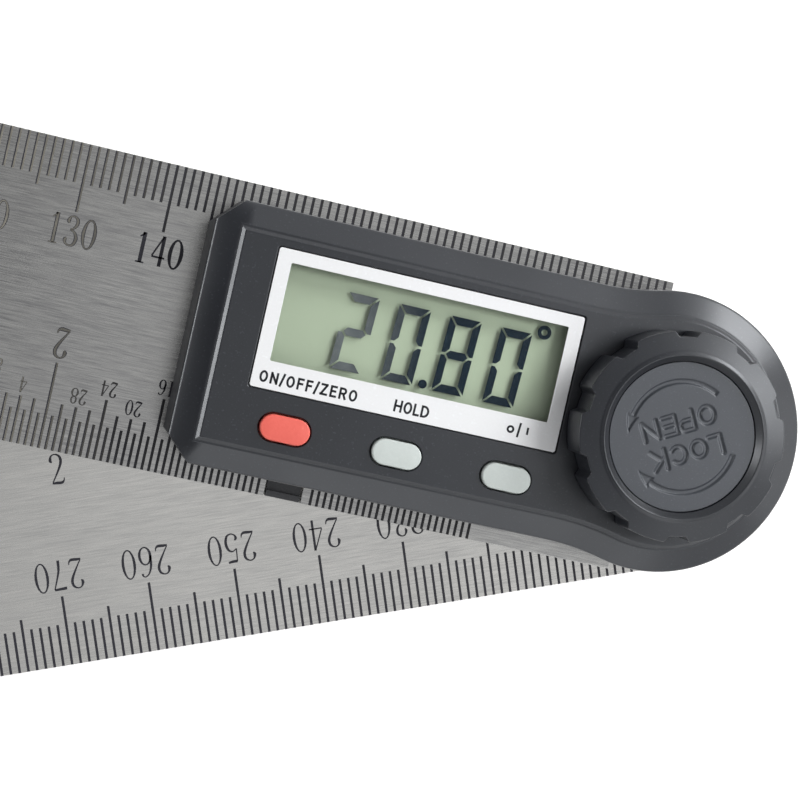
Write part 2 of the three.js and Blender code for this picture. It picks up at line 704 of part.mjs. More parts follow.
function lcdGlass() {
  const length = VIEW_LENGTH + 2 * LCD_MARGIN_X;
  const width = VIEW_WIDTH + 2 * LCD_MARGIN_Y;
  const sheet = roundedRectangle(displayX, viewY, length, width, VIEW_CORNER);
  return surface(plate(sheet, lcdLow, lcdTop));
}

// Rubber strip that joins the board to one long edge of the display, side = 1 or -1
function zebraStrip(side) {
  const half = VIEW_LENGTH / 2;
  const outer = viewY + side * (VIEW_WIDTH / 2 + LCD_MARGIN_Y - ZEBRA_INSET);
  const inner = outer - side * ZEBRA_WIDTH;
  const low = Math.min(outer, inner);
  const high = Math.max(outer, inner);
  return surface(block(displayX - half, displayX + half, low, high, boardTop, lcdLow));
}

// Board and electronics

function circuitBoard() {
  const half = boardHalf;
  const start = Math.acos(-BOARD_SHOULDER / 2 / boardEndRadius);
  const outline = new THREE.Shape([
    new THREE.Vector2(-boardReach, -half),
    new THREE.Vector2(-BOARD_SHOULDER, -half),
    ...arcPoints(0, 0, boardEndRadius, -start, start, ROUND_SIDES / 2),
    new THREE.Vector2(-BOARD_SHOULDER, half),
    new THREE.Vector2(-boardReach, half),
  ]);
  outline.holes.push(circleHole(carrierRadius + BOARD_HOLE_GAP));
  const holes = boardPostPlaces.map(([x, y]) => (
    post(BOARD_SCREW_RADIUS + FIT_CLEARANCE, boardLow - OVERRUN, boardTop + OVERRUN, x, y, SMALL_SIDES)
  ));
  return surface(cut(plate(outline, boardLow, boardTop), ...holes));
}

// Half of an oval standing on a flat base, at the origin
function domeProfile(radius, height, base, steps) {
  const arc = Array.from({ length: steps + 1 }, (_, i) => {
    const angle = Math.PI / 2 * i / steps;
    return [radius * Math.cos(angle), base + height * Math.sin(angle)];
  });
  arc[steps][0] = 0;
  return [[0, base], ...arc];
}

function processorBlob() {
  const body = turned(domeProfile(CHIP_RADIUS, CHIP_HEIGHT, boardTop, 4), SMALL_SIDES);
  return surface(body.translate([displayX, viewY, 0]));
}

function domeSwitch(x) {
  const body = turned(domeProfile(DOME_RADIUS, DOME_HEIGHT, boardTop, 3), SMALL_SIDES);
  return surface(body.translate([x, buttonY, 0]));
}

// Button cap with a flange that keeps it under the cover and a stem over its switch
function button(x) {
  const top = plateauTop + BUTTON_PROUD;
  const flangeTop = ceiling - FACE_CLEARANCE;
  const flangeLow = flangeTop - BUTTON_FLANGE_THICKNESS;
  const stemLow = domeTop + BUTTON_TRAVEL + 2 * FACE_CLEARANCE;
  const neck = stadium(x, buttonY, BUTTON_LENGTH, BUTTON_WIDTH);
  const crown = stadium(x, buttonY, BUTTON_LENGTH - 2 * BUTTON_ROUND, BUTTON_WIDTH - 2 * BUTTON_ROUND);
  const wider = 2 * BUTTON_FLANGE_OVERHANG;
  const flange = stadium(x, buttonY, BUTTON_LENGTH + wider, BUTTON_WIDTH + wider);
  return surface(joined(
    slopedPlate(crown, flangeLow + BUTTON_ROUND, top - BUTTON_ROUND, BUTTON_ROUND, BUTTON_ROUND),
    plate(neck, flangeLow, flangeTop + BUTTON_ROUND),
    plate(flange, flangeLow, flangeTop),
    post(BUTTON_STEM_RADIUS, stemLow, flangeTop, x, buttonY, SMALL_SIDES),
  ));
}

// Battery

function batteryTray() {
  const body = block(
    trayX - trayHalf, trayX + trayHalf, trayFront, trayBack + TRAY_TAIL, trayLow, trayTop);
  const pocket = post(pocketRadius, trayFloorTop, trayTop + OVERRUN, trayX, cellY, FINE_SIDES);
  const contactGap = block(
    trayX - TRAY_GAP_HALF, trayX + TRAY_GAP_HALF, cellY, trayBack + TRAY_TAIL + OVERRUN,
    trayFloorTop, trayTop + OVERRUN);
  const betweenRails = block(
    trayX - trayHalf + TRAY_RAIL_WIDTH, trayX + trayHalf - TRAY_RAIL_WIDTH,
    trayBack, trayBack + TRAY_TAIL + OVERRUN, trayLow - OVERRUN, trayTop + OVERRUN);
  const frontWall = block(
    trayX - trayHalf, trayX + trayHalf, trayFront, trayFront + TRAY_FRONT_WALL, trayLow, cellTop);
  const left = trayX - tabHalf;
  const right = trayX + tabHalf;
  const tabLow = upperUnderside + RUNNING_CLEARANCE;
  const tabOuter = -halfWidth + FACE_CLEARANCE;
  const rootOuter = trayFront - TAB_LIP_WIDTH / 2;
  const shelf = block(left, right, tabOuter, tabRootInner, tabLow, tabLow + TAB_SHELF);
  const lip = block(left, right, tabOuter, tabOuter + TAB_LIP_WIDTH, tabLow, tabLow + TAB_LIP_HEIGHT);
  const root = block(left, right, rootOuter, tabRootInner, tabLow, trayFloorTop);
  return surface(joined(cut(body, pocket, contactGap, betweenRails), frontWall, shelf, lip, root));
}

function coinCell() {
  const low = trayFloorTop;
  const shoulder = cellTop - CELL_LID_RISE;
  const body = turned([
    [0, low],
    [CELL_RADIUS, low],
    [CELL_RADIUS, shoulder],
    [CELL_RADIUS - CELL_LID_INSET, shoulder],
    [CELL_RADIUS - CELL_LID_INSET, cellTop],
    [0, cellTop],
  ]);
  return surface(body.translate([trayX, cellY, 0]));
}

// Bent strip under the board, drawn in the YZ plane and as wide as a contact in X
function contactStrip(points) {
  const shape = new THREE.Shape(points.map(([y, z]) => new THREE.Vector2(y, z)));
  const geometry = new THREE.ExtrudeGeometry(shape, { depth: CONTACT_WIDTH, bevelEnabled: false });
  geometry.rotateX(Math.PI / 2);
  geometry.rotateZ(Math.PI / 2);
  geometry.translate(trayX - CONTACT_WIDTH / 2, 0, 0);
  return solid(geometry);
}

// Leaf that presses on the flat of the cell
function minusContact() {
  const back = cellY + CONTACT_LEAF / 2;
  const front = cellY - CONTACT_LEAF / 2;
  const leafLow = cellTop + FACE_CLEARANCE;
  return surface(contactStrip([
    [back + CONTACT_FOOT, boardLow - CONTACT_THICKNESS],
    [back + CONTACT_FOOT, boardLow],
    [back, boardLow],
    [front, leafLow + CONTACT_THICKNESS],
    [front, leafLow],
    [back, boardLow - CONTACT_THICKNESS],
  ]));
}

// Leaf that hangs behind the tray and touches the rim of the cell
function plusContact() {
  const front = cellY + CELL_RADIUS + FACE_CLEARANCE;
  const tip = boardLow - CONTACT_DROP;
  return surface(contactStrip([
    [front, tip],
    [front + CONTACT_THICKNESS, tip],
    [front + CONTACT_THICKNESS, boardLow - CONTACT_THICKNESS],
    [front + CONTACT_FOOT, boardLow - CONTACT_THICKNESS],
    [front + CONTACT_FOOT, boardLow],
    [front, boardLow],
  ]));
}

// Fasteners

function crossSlot(x, y, radius, z0, z1) {
  const half = SCREW_SLOT_WIDTH / 2;
  return [
    block(x - radius, x + radius, y - half, y + half, z0, z1),
    block(x - half, x + half, y - radius, y + radius, z0, z1),
  ];
}

function caseScrew(x, y) {
  const headTop = upperUnderside + SCREW_HEAD_HEIGHT;
  const low = upperUnderside + FACE_CLEARANCE;
  const reach = SCREW_HEAD_RADIUS / 2;
  return surface(cut(
    joined(
      cone(SCREW_HEAD_RADIUS, SCREW_RADIUS, low, headTop, x, y),
      post(SCREW_RADIUS, low, upperUnderside + SCREW_LENGTH, x, y, SMALL_SIDES),
    ),
    ...crossSlot(x, y, reach, low - OVERRUN, low + SCREW_SLOT_DEPTH),
  ));
}

function boardScrew(x, y) {
  const headLow = boardLow - BOARD_SCREW_HEAD_HEIGHT;
  const reach = BOARD_SCREW_HEAD_RADIUS / 2;
  return surface(cut(
    joined(
      post(BOARD_SCREW_HEAD_RADIUS, headLow, boardLow, x, y, SMALL_SIDES),
      post(BOARD_SCREW_RADIUS, headLow, boardTop + BOARD_SCREW_GRIP, x, y, SMALL_SIDES),
    ),
    ...crossSlot(x, y, reach, headLow - OVERRUN, headLow + SCREW_SLOT_DEPTH),
  ));
}

// Lock knob

function knobOutline(inset) {
  const radius = KNOB_RADIUS - inset;
  const floorRadius = radius - KNOB_NOTCH_DEPTH;
  const pitch = 2 * Math.PI / KNOB_NOTCHES;
  const mouth = radians(KNOB_NOTCH_MOUTH_DEG) / 2;
  const floorHalf = radians(KNOB_NOTCH_FLOOR_DEG) / 2;
  const points = [];
  for (let i = 0; i < KNOB_NOTCHES; i += 1) {
    const centre = i * pitch;
    points.push(...arcPoints(0, 0, floorRadius, centre - floorHalf, centre + floorHalf, 1));
    points.push(...arcPoints(0, 0, radius, centre + mouth, centre + pitch - mouth, 3));
  }
  return new THREE.Shape(points);
}

function lockKnob() {
  const body = slopedPlate(
    knobOutline(KNOB_ROUND), knobLow + KNOB_ROUND, knobTop, KNOB_ROUND, KNOB_ROUND);
  const reach = KNOB_RADIUS + KNOB_ROUND;
  const clear = knobTop + 2 * KNOB_ROUND;
  const above = turned([
    [0, capSeat],
    [recessRadius, capSeat],
    [recessRadius, knobTop - KNOB_LIP_DROP],
    [lipRadius, knobTop],
    [reach, knobTop - KNOB_RIM_FALL * (reach - lipRadius) / KNOB_RIM],
    [reach, clear],
    [0, clear],
  ], FINE_SIDES);
  const nutPocket = post(nutRadius + FIT_CLEARANCE, knobLow - OVERRUN, nutSeat);
  const throat = post(threadRadius + 2 * RUNNING_CLEARANCE, knobLow - OVERRUN, knobTop);
  return surface(cut(body, above, nutPocket, throat));
}

// Groove of one curved arrow, on the side = 1 or -1 of the middle line of the cap
function arrowGroove(side) {
  const from = side * radians(ARROW_START_DEG);
  const to = side * radians(ARROW_END_DEG);
  const tip = to + side * ARROW_HEAD_LENGTH / arrowRadius;
  const inner = arrowRadius - ARROW_WIDTH / 2;
  const outer = arrowRadius + ARROW_WIDTH / 2;
  const arc = new THREE.Shape([
    ...arcPoints(0, 0, outer, from, to, 14),
    ...arcPoints(0, 0, inner, to, from, 14),
  ]);
  const head = new THREE.Shape([
    onCircle(arrowRadius + ARROW_HEAD_HALF, to),
    onCircle(arrowRadius, tip),
    onCircle(arrowRadius - ARROW_HEAD_HALF, to),
  ]);
  const floor = capTop - ARROW_DEPTH;
  return joined(plate(arc, floor, capTop + OVERRUN), plate(head, floor, capTop + OVERRUN));
}

function knobCap() {
  const disc = post(capRadius, capLow, capTop, 0, 0, FINE_SIDES);
  return surface(cut(disc, arrowGroove(1), arrowGroove(-1)));
}

// Finishes

const finish = (color, roughness, metalness) => ({ color, roughness, metalness });
const brushedSteel = finish(0xa9a7a3, 0.38, 1);
const turnedSteel = finish(0x8f9092, 0.32, 1);
const brass = finish(0xb48a44, 0.35, 1);
const bronze = finish(0x9a6b3c, 0.4, 1);
const blackPlastic = finish(0x2c2e31, 0.55, 0);
const knobPlastic = finish(0x33363a, 0.5, 0);
const whitePrint = finish(0xf2f3f4, 0.45, 0);
const clearSheet = finish(0xe8eeec, 0.08, 0);
const displayGlass = finish(0xaebb9c, 0.2, 0);
const stripRubber = finish(0x3d3d3f, 0.8, 0);
const boardGreen = finish(0x1f5a35, 0.5, 0);
const epoxyBlack = finish(0x151517, 0.35, 0);
const domeMetal = finish(0xc9c3b4, 0.3, 1);
const redButton = finish(0xea5d58, 0.45, 0);
const greyButton = finish(0xc3cbc5, 0.45, 0);
const whitePlastic = finish(0xe6e4de, 0.6, 0);

function piece(group, name, geometry, look) {
  const mesh = new THREE.Mesh(geometry, new THREE.MeshStandardMaterial(look));
  mesh.name = name;
  group.add(mesh);
}

// The assembly

const angleFinder = new THREE.Group();

const upperArm = new THREE.Group();
angleFinder.add(upperArm);
piece(upperArm, 'upper_blade', upperBlade(), brushedSteel);
piece(upperArm, 'pivot_bush', pivotBush(), bronze);
piece(upperArm, 'blade_washer', bladeWasher(), whitePlastic);
piece(upperArm, 'housing_cover', housingCover(), blackPlastic);
piece(upperArm, 'display_bezel', displayBezel(), whitePrint);
piece(upperArm, 'display_window', displayWindow(), clearSheet);
piece(upperArm, 'lcd_glass', lcdGlass(), displayGlass);
piece(upperArm, 'zebra_strip_upper', zebraStrip(1), stripRubber);
piece(upperArm, 'zebra_strip_lower', zebraStrip(-1), stripRubber);
piece(upperArm, 'circuit_board', circuitBoard(), boardGreen);
piece(upperArm, 'processor_blob', processorBlob(), epoxyBlack);
const buttonNames = ['on_off', 'hold', 'units'];
const buttonLooks = [redButton, greyButton, greyButton];
buttonPlaces.forEach((x, i) => {
  piece(upperArm, `dome_switch_${buttonNames[i]}`, domeSwitch(x), domeMetal);
  piece(upperArm, `button_${buttonNames[i]}`, button(x), buttonLooks[i]);
});
piece(upperArm, 'battery_contact_plus', plusContact(), domeMetal);
piece(upperArm, 'battery_contact_minus', minusContact(), domeMetal);
screwPlaces.forEach(([x, y], i) => {
  piece(upperArm, `case_screw_${i + 1}`, caseScrew(x, y), turnedSteel);
});
boardPostPlaces.forEach(([x, y], i) => {
  piece(upperArm, `board_screw_${i + 1}`, boardScrew(x, y), turnedSteel);
});
piece(upperArm, 'battery_tray', batteryTray(), blackPlastic);
piece(upperArm, 'coin_cell', coinCell(), turnedSteel);

const lowerArm = new THREE.Group();
lowerArm.rotation.z = radians(ARM_ANGLE_DEG);
angleFinder.add(lowerArm);
piece(lowerArm, 'lower_blade', lowerBlade(), brushedSteel);
piece(lowerArm, 'pivot_hub', pivotHub(), turnedSteel);
piece(lowerArm, 'wave_washer', waveWasher(), domeMetal);
piece(lowerArm, 'rotor_carrier', rotorCarrier(), brass);
piece(lowerArm, 'encoder_rotor', encoderRotor(), boardGreen);
piece(lowerArm, 'clamp_washer', clampWasher(), turnedSteel);

const knob = new THREE.Group();
knob.rotation.z = radians(KNOB_TURN_DEG);
angleFinder.add(knob);
piece(knob, 'lock_knob', lockKnob(), knobPlastic);
piece(knob, 'knob_nut', ring(nutBore, nutRadius, nutLow, nutTop), brass);
piece(knob, 'knob_cap', knobCap(), knobPlastic);

export default angleFinder;
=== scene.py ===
"""Looks of the digital angle finder with arms: blades, scales, housing, display, knob and finishes.

Every length in the classes is in millimetres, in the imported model's frame, and becomes metres when a
mesh is made. +Z is up, the origin is on the pivot axis, and the upper blade points along -X.
"""
import json
import logging
import math
from dataclasses import dataclass, field
from enum import Enum
from typing import Callable, Sequence

import bmesh
import bpy
import numpy as np
from mathutils import Matrix, Vector
from mathutils.geometry import tessellate_polygon

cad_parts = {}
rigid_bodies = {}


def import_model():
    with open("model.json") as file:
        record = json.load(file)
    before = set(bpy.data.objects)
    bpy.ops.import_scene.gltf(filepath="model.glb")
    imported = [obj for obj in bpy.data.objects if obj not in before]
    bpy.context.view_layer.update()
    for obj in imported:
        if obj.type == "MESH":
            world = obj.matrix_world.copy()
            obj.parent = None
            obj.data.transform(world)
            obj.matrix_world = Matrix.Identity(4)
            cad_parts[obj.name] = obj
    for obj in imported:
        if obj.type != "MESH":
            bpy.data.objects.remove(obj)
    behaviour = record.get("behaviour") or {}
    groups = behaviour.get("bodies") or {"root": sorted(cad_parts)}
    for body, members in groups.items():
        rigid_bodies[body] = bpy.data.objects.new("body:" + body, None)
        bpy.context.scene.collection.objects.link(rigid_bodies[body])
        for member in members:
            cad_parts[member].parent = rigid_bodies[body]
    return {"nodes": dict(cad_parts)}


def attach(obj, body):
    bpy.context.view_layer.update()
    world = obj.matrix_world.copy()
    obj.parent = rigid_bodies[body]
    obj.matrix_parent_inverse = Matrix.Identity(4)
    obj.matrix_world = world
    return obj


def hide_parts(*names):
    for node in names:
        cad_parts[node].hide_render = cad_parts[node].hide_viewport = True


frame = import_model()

log = logging.getLogger("angle_finder")

MM = 0.001
TURN = 2.0 * math.pi
ARM_ANGLE = 20.8

# How near two points have to be to count as one, in a mesh and in a test
MERGE = 0.0002
SAME = 1e-6

# Round corners: the guard points' distance, and the most of it as a share of the rounding; the most of
# a leg that one corner takes; and the width of the flat rim inside a soft edge, in roundings
GUARD = 0.04
GUARD_SHARE = 0.3
LEG_SHARE = 0.45
RIM = 4

# Steps round a large hole and round a small one
LARGE = 96
SMALL = 24

Outline = Callable[[float], np.ndarray]
Holes = Sequence[tuple[Outline, float]]
Skip = Callable[[np.ndarray, np.ndarray], np.ndarray]
Profile = list[tuple[float, float]]
Corner = tuple[float, float, float]
Line = list[tuple[float, float]]
Segment = tuple[float, float, float, float]
Colour = tuple[int, int, int]
Socket = bpy.types.NodeSocket
Ribbon = tuple[np.ndarray, bool]
GroupEnds = tuple[bpy.types.NodeTree, bpy.types.NodeOutputs, bpy.types.NodeInputs]
Finishes = dict[str, bpy.types.Material]


# Outlines: each is a closed run of points in the XY plane, counter-clockwise

def arc(x: float, y: float, radius: float, start: float, end: float, sides: int) -> np.ndarray:
    """Points on a circle, from one angle to the other in equal steps.

    Args:
        x, y: the centre.
        radius: the radius.
        start, end: the angles in degrees.
        sides: how many steps.

    Returns:
        An array of sides + 1 points.
    """
    angle = np.radians(np.linspace(start, end, sides + 1))
    return np.stack([x + radius * np.cos(angle), y + radius * np.sin(angle)], axis=1)


def circle(x: float, y: float, radius: float, sides: int) -> Outline:
    """A circle, as a function of how far it is moved inwards."""
    return lambda inset: arc(x, y, radius - inset, 0.0, 360.0, sides)[:-1]


def rounded_box(x: float, y: float, length: float, width: float, corner: float, sides: int = 8,
                least: float = 0.002) -> Outline:
    """A rectangle with round corners: four quarter circles, as a function of the inset.

    Args:
        x, y: the centre.
        length, width: the sides along X and Y.
        corner: the radius of the corners.
        sides: the steps in each corner.
        least: the smallest radius that an inset leaves.

    Returns:
        A function from the inset to the points.
    """
    def points(inset: float) -> np.ndarray:
        """The four corners one after another."""
        radius = max(corner - inset, least)
        extra = min(corner - inset - least, 0.0)
        dx, dy = length / 2 - corner + extra, width / 2 - corner + extra
        return np.concatenate([arc(x + dx * right, y + dy * up, radius, start, start + 90, sides)
                               for start, right, up in ((0, 1, 1), (90, -1, 1), (180, -1, -1), (270, 1, -1))])
    return points


def stadium(x: float, y: float, length: float, width: float, sides: int = 20) -> Outline:
    """Two half circles joined by straight sides, as a function of the inset.

    Args:
        x, y: the centre.
        length, width: the overall size along X and Y.
        sides: the steps in each half circle.

    Returns:
        A function from the inset to the points.
    """
    reach, radius = (length - width) / 2, width / 2

    def points(inset: float) -> np.ndarray:
        """The right half circle, then the left one."""
        return np.concatenate([
            arc(x + reach, y, radius - inset, -90, 90, sides),
            arc(x - reach, y, radius - inset, 90, 270, sides),
        ])
    return points


def flatted(radius: float, flat: float, sides: int = 24) -> Outline:
    """A circle with two flats parallel to X, as on a keyed shaft, as a function of the inset.

    Args:
        radius: the circle's radius.
        flat: the distance of the flats from the centre.
        sides: the steps in each round side.

    Returns:
        A function from the inset to the points.
    """
    def points(inset: float) -> np.ndarray:
        """The upper flat's right end round to the left one, and the same below, through the sides."""
        half = math.degrees(math.asin((flat - inset) / (radius - inset)))
        return np.concatenate([
            arc(0, 0, radius - inset, -half, half, sides),
            arc(0, 0, radius - inset, 180 - half, 180 + half, sides),
        ])
    return points


def softened(corners: Sequence[Corner], steps: int = 4) -> Profile:
    """A profile with its corners made round.

    Each corner becomes a quadratic curve from one leg to the other that bends towards the corner, with
    a guard point on each leg that keeps the flats flat in shading.

    Args:
        corners: inset, height and rounding of each corner in order; the ends have no rounding.
        steps: the steps in each curve.

    Returns:
        The points as (inset, height).
    """
    path = np.array([corner[:2] for corner in corners], float)
    t = np.linspace(0.0, 1.0, steps + 1)[:, None]
    points: Profile = []
    for i, (inset, height, rounding) in enumerate(corners):
        if rounding <= 0 or i in (0, len(corners) - 1):
            points.append((inset, height))
            continue
        here = path[i]
        back, ahead = path[i - 1] - here, path[i + 1] - here
        back_length, ahead_length = np.linalg.norm(back), np.linalg.norm(ahead)
        reach = min(rounding, LEG_SHARE * back_length, LEG_SHARE * ahead_length)
        guard = min(GUARD, GUARD_SHARE * reach)
        back, ahead = back / back_length, ahead / ahead_length
        first, last = here + back * reach, here + ahead * reach
        bend = (1 - t) ** 2 * first + 2 * t * (1 - t) * here + t ** 2 * last
        run = np.concatenate([[first + back * guard], bend, [last + ahead * guard]])
        points.extend((float(a), float(b)) for a, b in run)
    return points


# Meshes

class Shell:
    """Surfaces of one piece, gathered as points and faces and made one mesh at the end."""

    def __init__(self) -> None:
        """Starts with nothing."""
        self.points: list[np.ndarray] = []
        self.faces: list[list[int]] = []
        self.count = 0

    def add(self, points: np.ndarray, faces: list[list[int]]) -> None:
        """Adds points in millimetres, and faces that count from the first of them."""
        self.points.append(points)
        self.faces.extend([i + self.count for i in face] for face in faces)
        self.count += len(points)

    def grid(self, points: np.ndarray, across: bool = True, along: bool = False,
             skip: Skip | None = None) -> None:
        """Adds a grid of quads.

        Args:
            points: rows by columns by three.
            across: whether the last column joins the first.
            along: whether the last row joins the first.
            skip: says which quads, by row and column, are left out.
        """
        rows, columns = points.shape[:2]
        r = np.arange(rows if along else rows - 1)[:, None]
        c = np.arange(columns if across else columns - 1)[None, :]
        after_r, after_c = (r + 1) % rows, (c + 1) % columns
        quads = np.stack(np.broadcast_arrays(
            r * columns + c, r * columns + after_c, after_r * columns + after_c, after_r * columns + c,
        ), axis=-1)
        if skip is not None:
            quads = quads[~np.broadcast_to(skip(r, c), quads.shape[:2])]
        self.add(points.reshape(-1, 3), quads.reshape(-1, 4).tolist())

    def sweep(self, outline: Outline, profile: Profile, closed: bool = False,
              skip: Skip | None = None) -> np.ndarray:
        """Carries a profile round an outline: at each step the outline is moved inwards and lifted.

        Args:
            outline: the points as a function of the inset.
            profile: the inset and the height of each step.
            closed: whether the profile's end joins its start.
            skip: says which quads are left out.

        Returns:
            The grid of points.
        """
        points = np.stack([raised(outline(inset), z) for inset, z in profile])
        self.grid(points, along=closed, skip=skip)
        return points

    def fill(self, loops: Sequence[np.ndarray]) -> None:
        """Adds a flat face inside the first loop, with the others as holes in it."""
        flat = [[Vector((p[0], p[1], 0.0)) for p in loop] for loop in loops]
        triangles = tessellate_polygon(flat)
        self.add(np.concatenate(list(loops)), [list(face) for face in triangles])

    def plate(self, outline: Outline, low: float, high: float, soft: float, holes: Holes = (),
              seat: tuple[float, float] | None = None) -> None:
        """Adds a flat plate with soft edges and with holes right through it.

        Args:
            outline: the edge of the plate.
            low, high: the heights of its faces.
            soft: the rounding of the edges.
            holes: each hole's outline and the rounding of its edges.
            seat: radius and depth of a round recess in the underside, about the first hole.
        """
        edge = RIM * (soft + GUARD)
        body = self.sweep(outline, softened([
            (edge, low, 0), (0, low, soft), (0, high, soft), (edge, high, 0)], steps=3))
        tops, floors = [body[-1]], [body[0]]
        for i, (hole, rounding) in enumerate(holes):
            rim = RIM * (rounding + GUARD)
            start = low + seat[1] if seat is not None and i == 0 else low
            wall = self.sweep(hole, softened([
                (-rim, start, 0), (0, start, rounding), (0, high, rounding), (-rim, high, 0)], steps=3))
            tops.append(wall[-1])
            if start > low:
                recess = self.sweep(circle(0, 0, seat[0], LARGE), softened([
                    (-rim, low, 0), (0, low, rounding), (0, start, 0)], steps=3))
                self.fill([recess[-1], wall[0]])
                floors.append(recess[0])
            else:
                floors.append(wall[0])
        self.fill(tops)
        self.fill(floors)

    def solid(self, outline: Outline, profile: Profile) -> None:
        """Adds a closed body: a sweep with its first and last loops filled."""
        rings = self.sweep(outline, profile)
        self.fill([rings[0]])
        self.fill([rings[-1]])

    def ribbon(self, edges: np.ndarray, closed: bool, low: float, high: float) -> None:
        """Adds a flat ribbon with a thickness.

        Args:
            edges: its two edges, as 2 by n by 2.
            closed: whether its ends join.
            low, high: the heights of its faces.
        """
        rows = ((edges[0], low), (edges[0], high), (edges[1], high), (edges[1], low))
        grid = np.stack([raised(row, z) for row, z in rows])
        self.grid(grid, across=closed, along=True)
        if not closed:
            self.add(np.concatenate([grid[:, 0], grid[:, -1]]), [[0, 3, 2, 1], [4, 5, 6, 7]])

    def install(self, name: str, material: bpy.types.Material, body: str, slot: str, *nodes: str,
                sharp: float = 32.0, spin: float = 0.0) -> None:
        """Makes the piece and sets it on its body, with doubles merged and faces turned outwards.

        Args:
            name: the piece's name.
            material: its material.
            body: the body that it rides on.
            slot: the record's material slot, not used.
            nodes: the CAD nodes that it replaces.
            sharp: the angle between faces, in degrees, past which an edge stays sharp.
            spin: degrees that the piece is turned about the pivot axis.
        """
        mesh = bpy.data.meshes.new(name)
        points = spun(np.concatenate(self.points), spin) * MM
        mesh.from_pydata(points.tolist(), [], self.faces)
        work = bmesh.new()
        work.from_mesh(mesh)
        bmesh.ops.remove_doubles(work, verts=work.verts, dist=MERGE * MM)
        bmesh.ops.dissolve_degenerate(work, edges=work.edges, dist=MERGE * MM)
        bmesh.ops.recalc_face_normals(work, faces=work.faces)
        work.to_mesh(mesh)
        work.free()
        mesh.shade_smooth()
        mesh.set_sharp_from_angle(angle=math.radians(sharp))
        mesh.materials.append(material)
        piece = bpy.data.objects.new(name, mesh)
        bpy.context.scene.collection.objects.link(piece)
        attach(piece, body)
        if nodes:
            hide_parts(*nodes)
        log.info("%s on %s: %d faces", piece.name, body, len(piece.data.polygons))


def raised(points: np.ndarray, z: float) -> np.ndarray:
    """The flat points at a height."""
    return np.concatenate([points, np.full((len(points), 1), z)], axis=1)


def spun(points: np.ndarray, degrees: float) -> np.ndarray:
    """The points turned about the Z axis through the origin.

    Args:
        points: any array of points.
        degrees: the angle.

    Returns:
        The turned points.
    """
    c, s = math.cos(math.radians(degrees)), math.sin(math.radians(degrees))
    turned = points.copy()
    turned[..., 0] = c * points[..., 0] - s * points[..., 1]
    turned[..., 1] = s * points[..., 0] + c * points[..., 1]
    return turned


# Node groups for effects that several finishes share

class Effect(Enum):
    """The shared effects, by the name of their node group."""
    BRUSHED = "brushed_lines"
    GRAIN = "moulded_grain"
    CLOUDS = "soft_clouds"


def fill_inputs(tree: bpy.types.NodeTree, target: bpy.types.Node, values: dict[int | str, object]) -> None:
    """Fills a node's inputs, where a socket is linked and any other value is set.

    Args:
        tree: the node tree.
        target: the node.
        values: sockets, numbers, vectors or colours by the input's index or name, with underscores
            for the spaces in a name.
    """
    for place, value in values.items():
        end = target.inputs[place.replace("_", " ") if isinstance(place, str) else place]
        if isinstance(value, Socket):
            tree.links.new(value, end)
        else:
            end.default_value = value


def node(tree: bpy.types.NodeTree, kind: str, *values: float | Socket,
         options: dict[str, object] | None = None, **named: object) -> bpy.types.Node:
    """Adds a node to a tree.

    Args:
        tree: the node tree.
        kind: the node's type without its prefix.
        values: what goes into its first inputs.
        options: its own settings.
        named: what goes into its inputs by name.

    Returns:
        The node.
    """
    made = tree.nodes.new(f"ShaderNode{kind}")
    for name, option in (options or {}).items():
        setattr(made, name, option)
    fill_inputs(tree, made, {**dict(enumerate(values)), **named})
    return made


def math_node(tree: bpy.types.NodeTree, operation: str, *values: float | Socket,
              clamp: bool = False) -> Socket:
    """Adds a Math node, kept between 0 and 1 if it is clamped, and gives its output."""
    return node(tree, "Math", *values, options={"operation": operation, "use_clamp": clamp}).outputs[0]


def noise(tree: bpy.types.NodeTree, vector: Socket, scale: float | Socket, detail: float = 2.0,
          rough: float = 0.5) -> Socket:
    """Adds a Noise Texture and gives its Factor."""
    return node(tree, "TexNoise", Vector=vector, Scale=scale, Detail=detail, Roughness=rough).outputs[0]


def ranged(tree: bpy.types.NodeTree, value: Socket, source: tuple[float, float],
           target: tuple[float, float]) -> Socket:
    """Adds a Map Range node from one range to another, and gives its result."""
    return node(tree, "MapRange", Value=value, From_Min=source[0], From_Max=source[1], To_Min=target[0],
                To_Max=target[1]).outputs["Result"]


def new_group(effect: Effect, inputs: dict[str, float], outputs: Sequence[str]) -> GroupEnds:
    """Makes an empty node group with a Vector input, number inputs and number outputs.

    Args:
        effect: the effect, whose name it takes.
        inputs: the number inputs with their values.
        outputs: the names of the outputs.

    Returns:
        The group, the sockets that it is given, and the sockets that take its results.
    """
    group = bpy.data.node_groups.new(effect.value, "ShaderNodeTree")
    group.interface.new_socket("Vector", in_out="INPUT", socket_type="NodeSocketVector")
    for name, value in inputs.items():
        group.interface.new_socket(name, in_out="INPUT", socket_type="NodeSocketFloat").default_value = value
    for name in outputs:
        group.interface.new_socket(name, in_out="OUTPUT", socket_type="NodeSocketFloat")
    return group, group.nodes.new("NodeGroupInput").outputs, group.nodes.new("NodeGroupOutput").inputs


